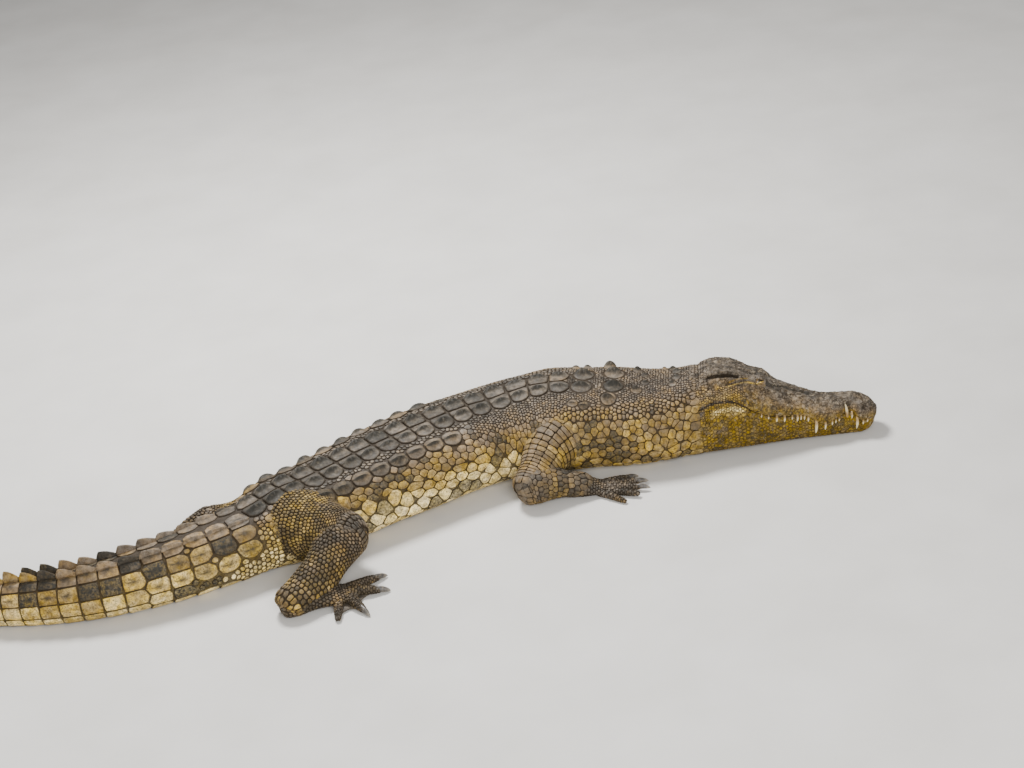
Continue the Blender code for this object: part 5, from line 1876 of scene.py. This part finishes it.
def add_stage(stage):
    """A pale floor, a broad soft light from above and behind, a fill, and the camera."""
    half = stage.floor_size / 2
    corners = [(x * half, y * half, 0) for x, y in ((-1, -1), (1, -1), (1, 1), (-1, 1))]
    mesh = bpy.data.meshes.new("floor")
    mesh.from_pydata(corners, [], [(0, 1, 2, 3)])
    floor = linked("floor", mesh)
    g = Graph("floor")
    tone = g.ramp(g.noise(3.0, 3.0), [(0.3, stage.floor_colour), (0.8, stage.floor_pale)])
    mesh.materials.append(g.finish(Base_Color=tone, Roughness=0.9))
    for name, spot, size, energy in (
        ("key_light", (-0.3, 2.0, 4.0), 1.3, stage.key_energy),
        ("fill_light", (1.2, -4.2, 2.6), 3.0, stage.fill_energy),
        ("rim_light", (-3.4, -0.6, 2.8), 2.0, stage.rim_energy),
    ):
        light = bpy.data.lights.new(name, "AREA")
        light.shape, light.size, light.energy = "DISK", size, energy
        back = unit(np.array(spot) - LIGHT_AIM)
        right = unit(np.cross((0, 0, 1), back))
        linked(name, light).matrix_world = looking(spot, right, np.cross(back, right), back)
    world = bpy.data.worlds.new("studio")
    world.use_nodes = True
    sky = world.node_tree.nodes["Background"].inputs
    sky["Color"].default_value = (0.98, 0.98, 1.0, 1.0)
    sky["Strength"].default_value = stage.sky
    bpy.context.scene.world = world
    add_camera(stage)


def looking(spot, right, up, back):
    """An object's matrix from its place and its own right, up and backward directions."""
    matrix = np.identity(4)
    matrix[:3] = np.stack([right, up, back, spot], axis=1)
    return Matrix(matrix.tolist())


def add_camera(stage):
    """Looks down at the animal's right side, with the head to the right and the tail leaving at
    left: a level view lifted by the elevation, then leant by the roll."""
    lift, roll = stage.camera_elevation, stage.camera_roll
    back = np.array([0.0, -np.cos(lift), np.sin(lift)])
    level = np.array([1.0, 0.0, 0.0])
    upright = np.cross(back, level)
    right = level * np.cos(roll) - upright * np.sin(roll)
    up = upright * np.cos(roll) + level * np.sin(roll)
    camera = bpy.data.cameras.new("camera")
    camera.lens, camera.sensor_width, camera.clip_end = stage.camera_lens, 36.0, 60.0
    obj = linked("camera", camera)
    spot = np.array(stage.camera_aim) + back * stage.camera_distance
    obj.matrix_world = looking(spot, right, up, back)
    bpy.context.scene.camera = obj


# --- Add-on ---


def colour_property(name, description, default):
    """A colour that the user may change, in linear light."""
    return bpy.props.FloatVectorProperty(
        name=name, description=description, default=default, size=3, min=0.0, max=1.0,
        subtype="COLOR",
    )


def number_property(name, description, default, **more):
    """A number that the user may change, with its unit and limits."""
    return bpy.props.FloatProperty(name=name, description=description, default=default, **more)


class CrocColours(bpy.types.PropertyGroup):
    slate: colour_property("Slate", "Scutes along the back", (0.088, 0.079, 0.067))
    taupe: colour_property("Taupe", "Crown and upper neck", (0.180, 0.146, 0.110))
    brown: colour_property("Brown", "Snout sides and upper flanks", (0.225, 0.155, 0.082))
    tan: colour_property("Tan", "Flanks and sides of the tail", (0.285, 0.188, 0.058))
    ochre: colour_property("Ochre", "Jaws and throat", (0.215, 0.134, 0.010))
    gold: colour_property("Gold", "Lower flanks and sides of the tail", (0.480, 0.325, 0.090))
    yellow: colour_property("Yellow", "Edge of the belly", (0.740, 0.540, 0.180))
    pale: colour_property("Pale yellow", "Belly", (1.000, 0.790, 0.370))
    # Charcoal is also the painted shade on the crests of the keels.
    charcoal: colour_property("Charcoal", "Dark plates on flanks and tail", (0.030, 0.028, 0.023))
    speck: colour_property("Specks", "Fine brown flecks", (0.055, 0.034, 0.014))
    dust: colour_property("Dust", "Dry mud and worn spots", (0.330, 0.265, 0.180))
    # Painted shade: the near-black of the creases between plates, of the hide under them and of the
    # folds and cracks of the face.
    crease: colour_property("Creases", "Hide between the plates", (0.026, 0.018, 0.010))
    iris: colour_property("Iris", "Gold of the eye", (0.260, 0.160, 0.060))
    iris_dark: colour_property("Iris flecks", "Dark flecks of the eye", (0.045, 0.028, 0.010))
    eye_rim: colour_property("Iris rim", "Edge of the iris", (0.030, 0.022, 0.016))
    pupil: colour_property("Pupil", "Slit of the eye", (0.004, 0.004, 0.004))
    tooth: colour_property("Tooth", "Ivory", (0.620, 0.520, 0.320))
    tooth_root: colour_property("Tooth root", "Stained foot of a tooth", (0.330, 0.210, 0.080))
    claw: colour_property("Claw", "Horn of the claws", (0.055, 0.050, 0.045))
    claw_tip: colour_property("Claw tip", "Worn end of a claw", (0.200, 0.180, 0.150))


class CrocSizes(bpy.types.PropertyGroup):
    gap: number_property(
        "Crease", "Share of a plate's reach left as crease", 0.018, min=0.0, max=0.3,
        subtype="FACTOR",
    )
    lid_opening: number_property(
        "Lid opening", "How far each lid stands from the eye's middle line", 0.64, min=0.0, max=1.2,
        unit="ROTATION",
    )


class CrocStage(bpy.types.PropertyGroup):
    floor_size: number_property("Floor", "Side of the floor", 40.0, unit="LENGTH")
    floor_colour: colour_property("Floor colour", "Pale floor", (0.62, 0.60, 0.56))
    floor_pale: colour_property("Floor highlights", "Paler clouds of the floor", (0.70, 0.68, 0.64))
    key_energy: number_property("Key", "Soft light from above", 380.0, unit="POWER")
    fill_energy: number_property("Fill", "Light from the front", 235.0, unit="POWER")
    rim_energy: number_property("Rim", "Light from the tail's side", 18.0, unit="POWER")
    sky: number_property("Sky", "Strength of the even light all round", 0.40)
    camera_elevation: number_property(
        "Elevation", "Camera above the floor", np.radians(28.04), unit="ROTATION"
    )
    camera_roll: number_property("Roll", "Lean of the camera", np.radians(7.67), unit="ROTATION")
    camera_distance: number_property("Distance", "Camera to aim", 6.944, unit="LENGTH")
    camera_lens: number_property("Lens", "Focal length in millimetres", 74.85)
    camera_aim: bpy.props.FloatVectorProperty(
        name="Aim", description="Point in the middle of the view", default=(0.6053, 0.5346, 0.1),
        size=3, unit="LENGTH",
    )


class OBJECT_OT_croc_skin(bpy.types.Operator):
    """Make the hide over the whole animal, with its lids and webs"""

    bl_idname = "object.croc_skin"
    bl_label = "Hide"

    def execute(self, context):
        add_skin(context.scene.croc_sizes, context.scene.croc_colours)
        return {"FINISHED"}


class OBJECT_OT_croc_scales(bpy.types.Operator):
    """Lay the plates of the head, body, tail and legs"""

    bl_idname = "object.croc_scales"
    bl_label = "Plates"

    def execute(self, context):
        add_scales(context.scene.croc_sizes, context.scene.croc_colours)
        return {"FINISHED"}


class OBJECT_OT_croc_crest(bpy.types.Operator):
    """Stand the flaps of the crest along the tail"""

    bl_idname = "object.croc_crest"
    bl_label = "Tail crest"

    def execute(self, context):
        add_crest(context.scene.croc_colours)
        return {"FINISHED"}


class OBJECT_OT_croc_eyes(bpy.types.Operator):
    """Make both eyeballs"""

    bl_idname = "object.croc_eyes"
    bl_label = "Eyes"

    def execute(self, context):
        add_eyes(context.scene.croc_colours)
        return {"FINISHED"}


class OBJECT_OT_croc_teeth(bpy.types.Operator):
    """Make the teeth that show with the mouth shut"""

    bl_idname = "object.croc_teeth"
    bl_label = "Teeth"

    def execute(self, context):
        add_teeth(context.scene.croc_colours)
        return {"FINISHED"}


class OBJECT_OT_croc_claws(bpy.types.Operator):
    """Make the claws of all four feet"""

    bl_idname = "object.croc_claws"
    bl_label = "Claws"

    def execute(self, context):
        add_claws(context.scene.croc_colours)
        return {"FINISHED"}


class OBJECT_OT_croc_stage(bpy.types.Operator):
    """Set the floor, the lights and the camera"""

    bl_idname = "object.croc_stage"
    bl_label = "Stage"

    def execute(self, context):
        add_stage(context.scene.croc_stage)
        return {"FINISHED"}


OPERATORS = (
    OBJECT_OT_croc_skin, OBJECT_OT_croc_scales, OBJECT_OT_croc_crest, OBJECT_OT_croc_eyes,
    OBJECT_OT_croc_teeth, OBJECT_OT_croc_claws, OBJECT_OT_croc_stage,
)


class VIEW3D_PT_croc(bpy.types.Panel):
    """Lists the operators, and the sizes and colours that they use"""

    bl_label = "Resting crocodile"
    bl_idname = "VIEW3D_PT_croc"
    bl_space_type = "VIEW_3D"
    bl_region_type = "UI"
    bl_category = "Crocodile"

    def draw(self, context):
        for operator in OPERATORS:
            self.layout.operator(operator.bl_idname)
        for group in (getattr(context.scene, name) for name in GROUPS):
            box = self.layout.box()
            for name in group.__annotations__:
                box.prop(group, name)


GROUPS = {"croc_colours": CrocColours, "croc_sizes": CrocSizes, "croc_stage": CrocStage}


def register():
    """Registers the classes and hangs the groups of sizes and colours on the scene."""
    for group in (*GROUPS.values(), *OPERATORS, VIEW3D_PT_croc):
        bpy.utils.register_class(group)
    for name, group in GROUPS.items():
        setattr(bpy.types.Scene, name, bpy.props.PointerProperty(type=group))


def unregister():
    """Takes back what register did."""
    for name in GROUPS:
        delattr(bpy.types.Scene, name)
    for group in reversed((*GROUPS.values(), *OPERATORS, VIEW3D_PT_croc)):
        bpy.utils.unregister_class(group)


def main():
    register()
    bpy.ops.object.croc_skin()
    bpy.ops.object.croc_scales()
    bpy.ops.object.croc_crest()
    bpy.ops.object.croc_eyes()
    bpy.ops.object.croc_teeth()
    bpy.ops.object.croc_claws()
    bpy.ops.object.croc_stage()


if __name__ == "__main__":
    main()
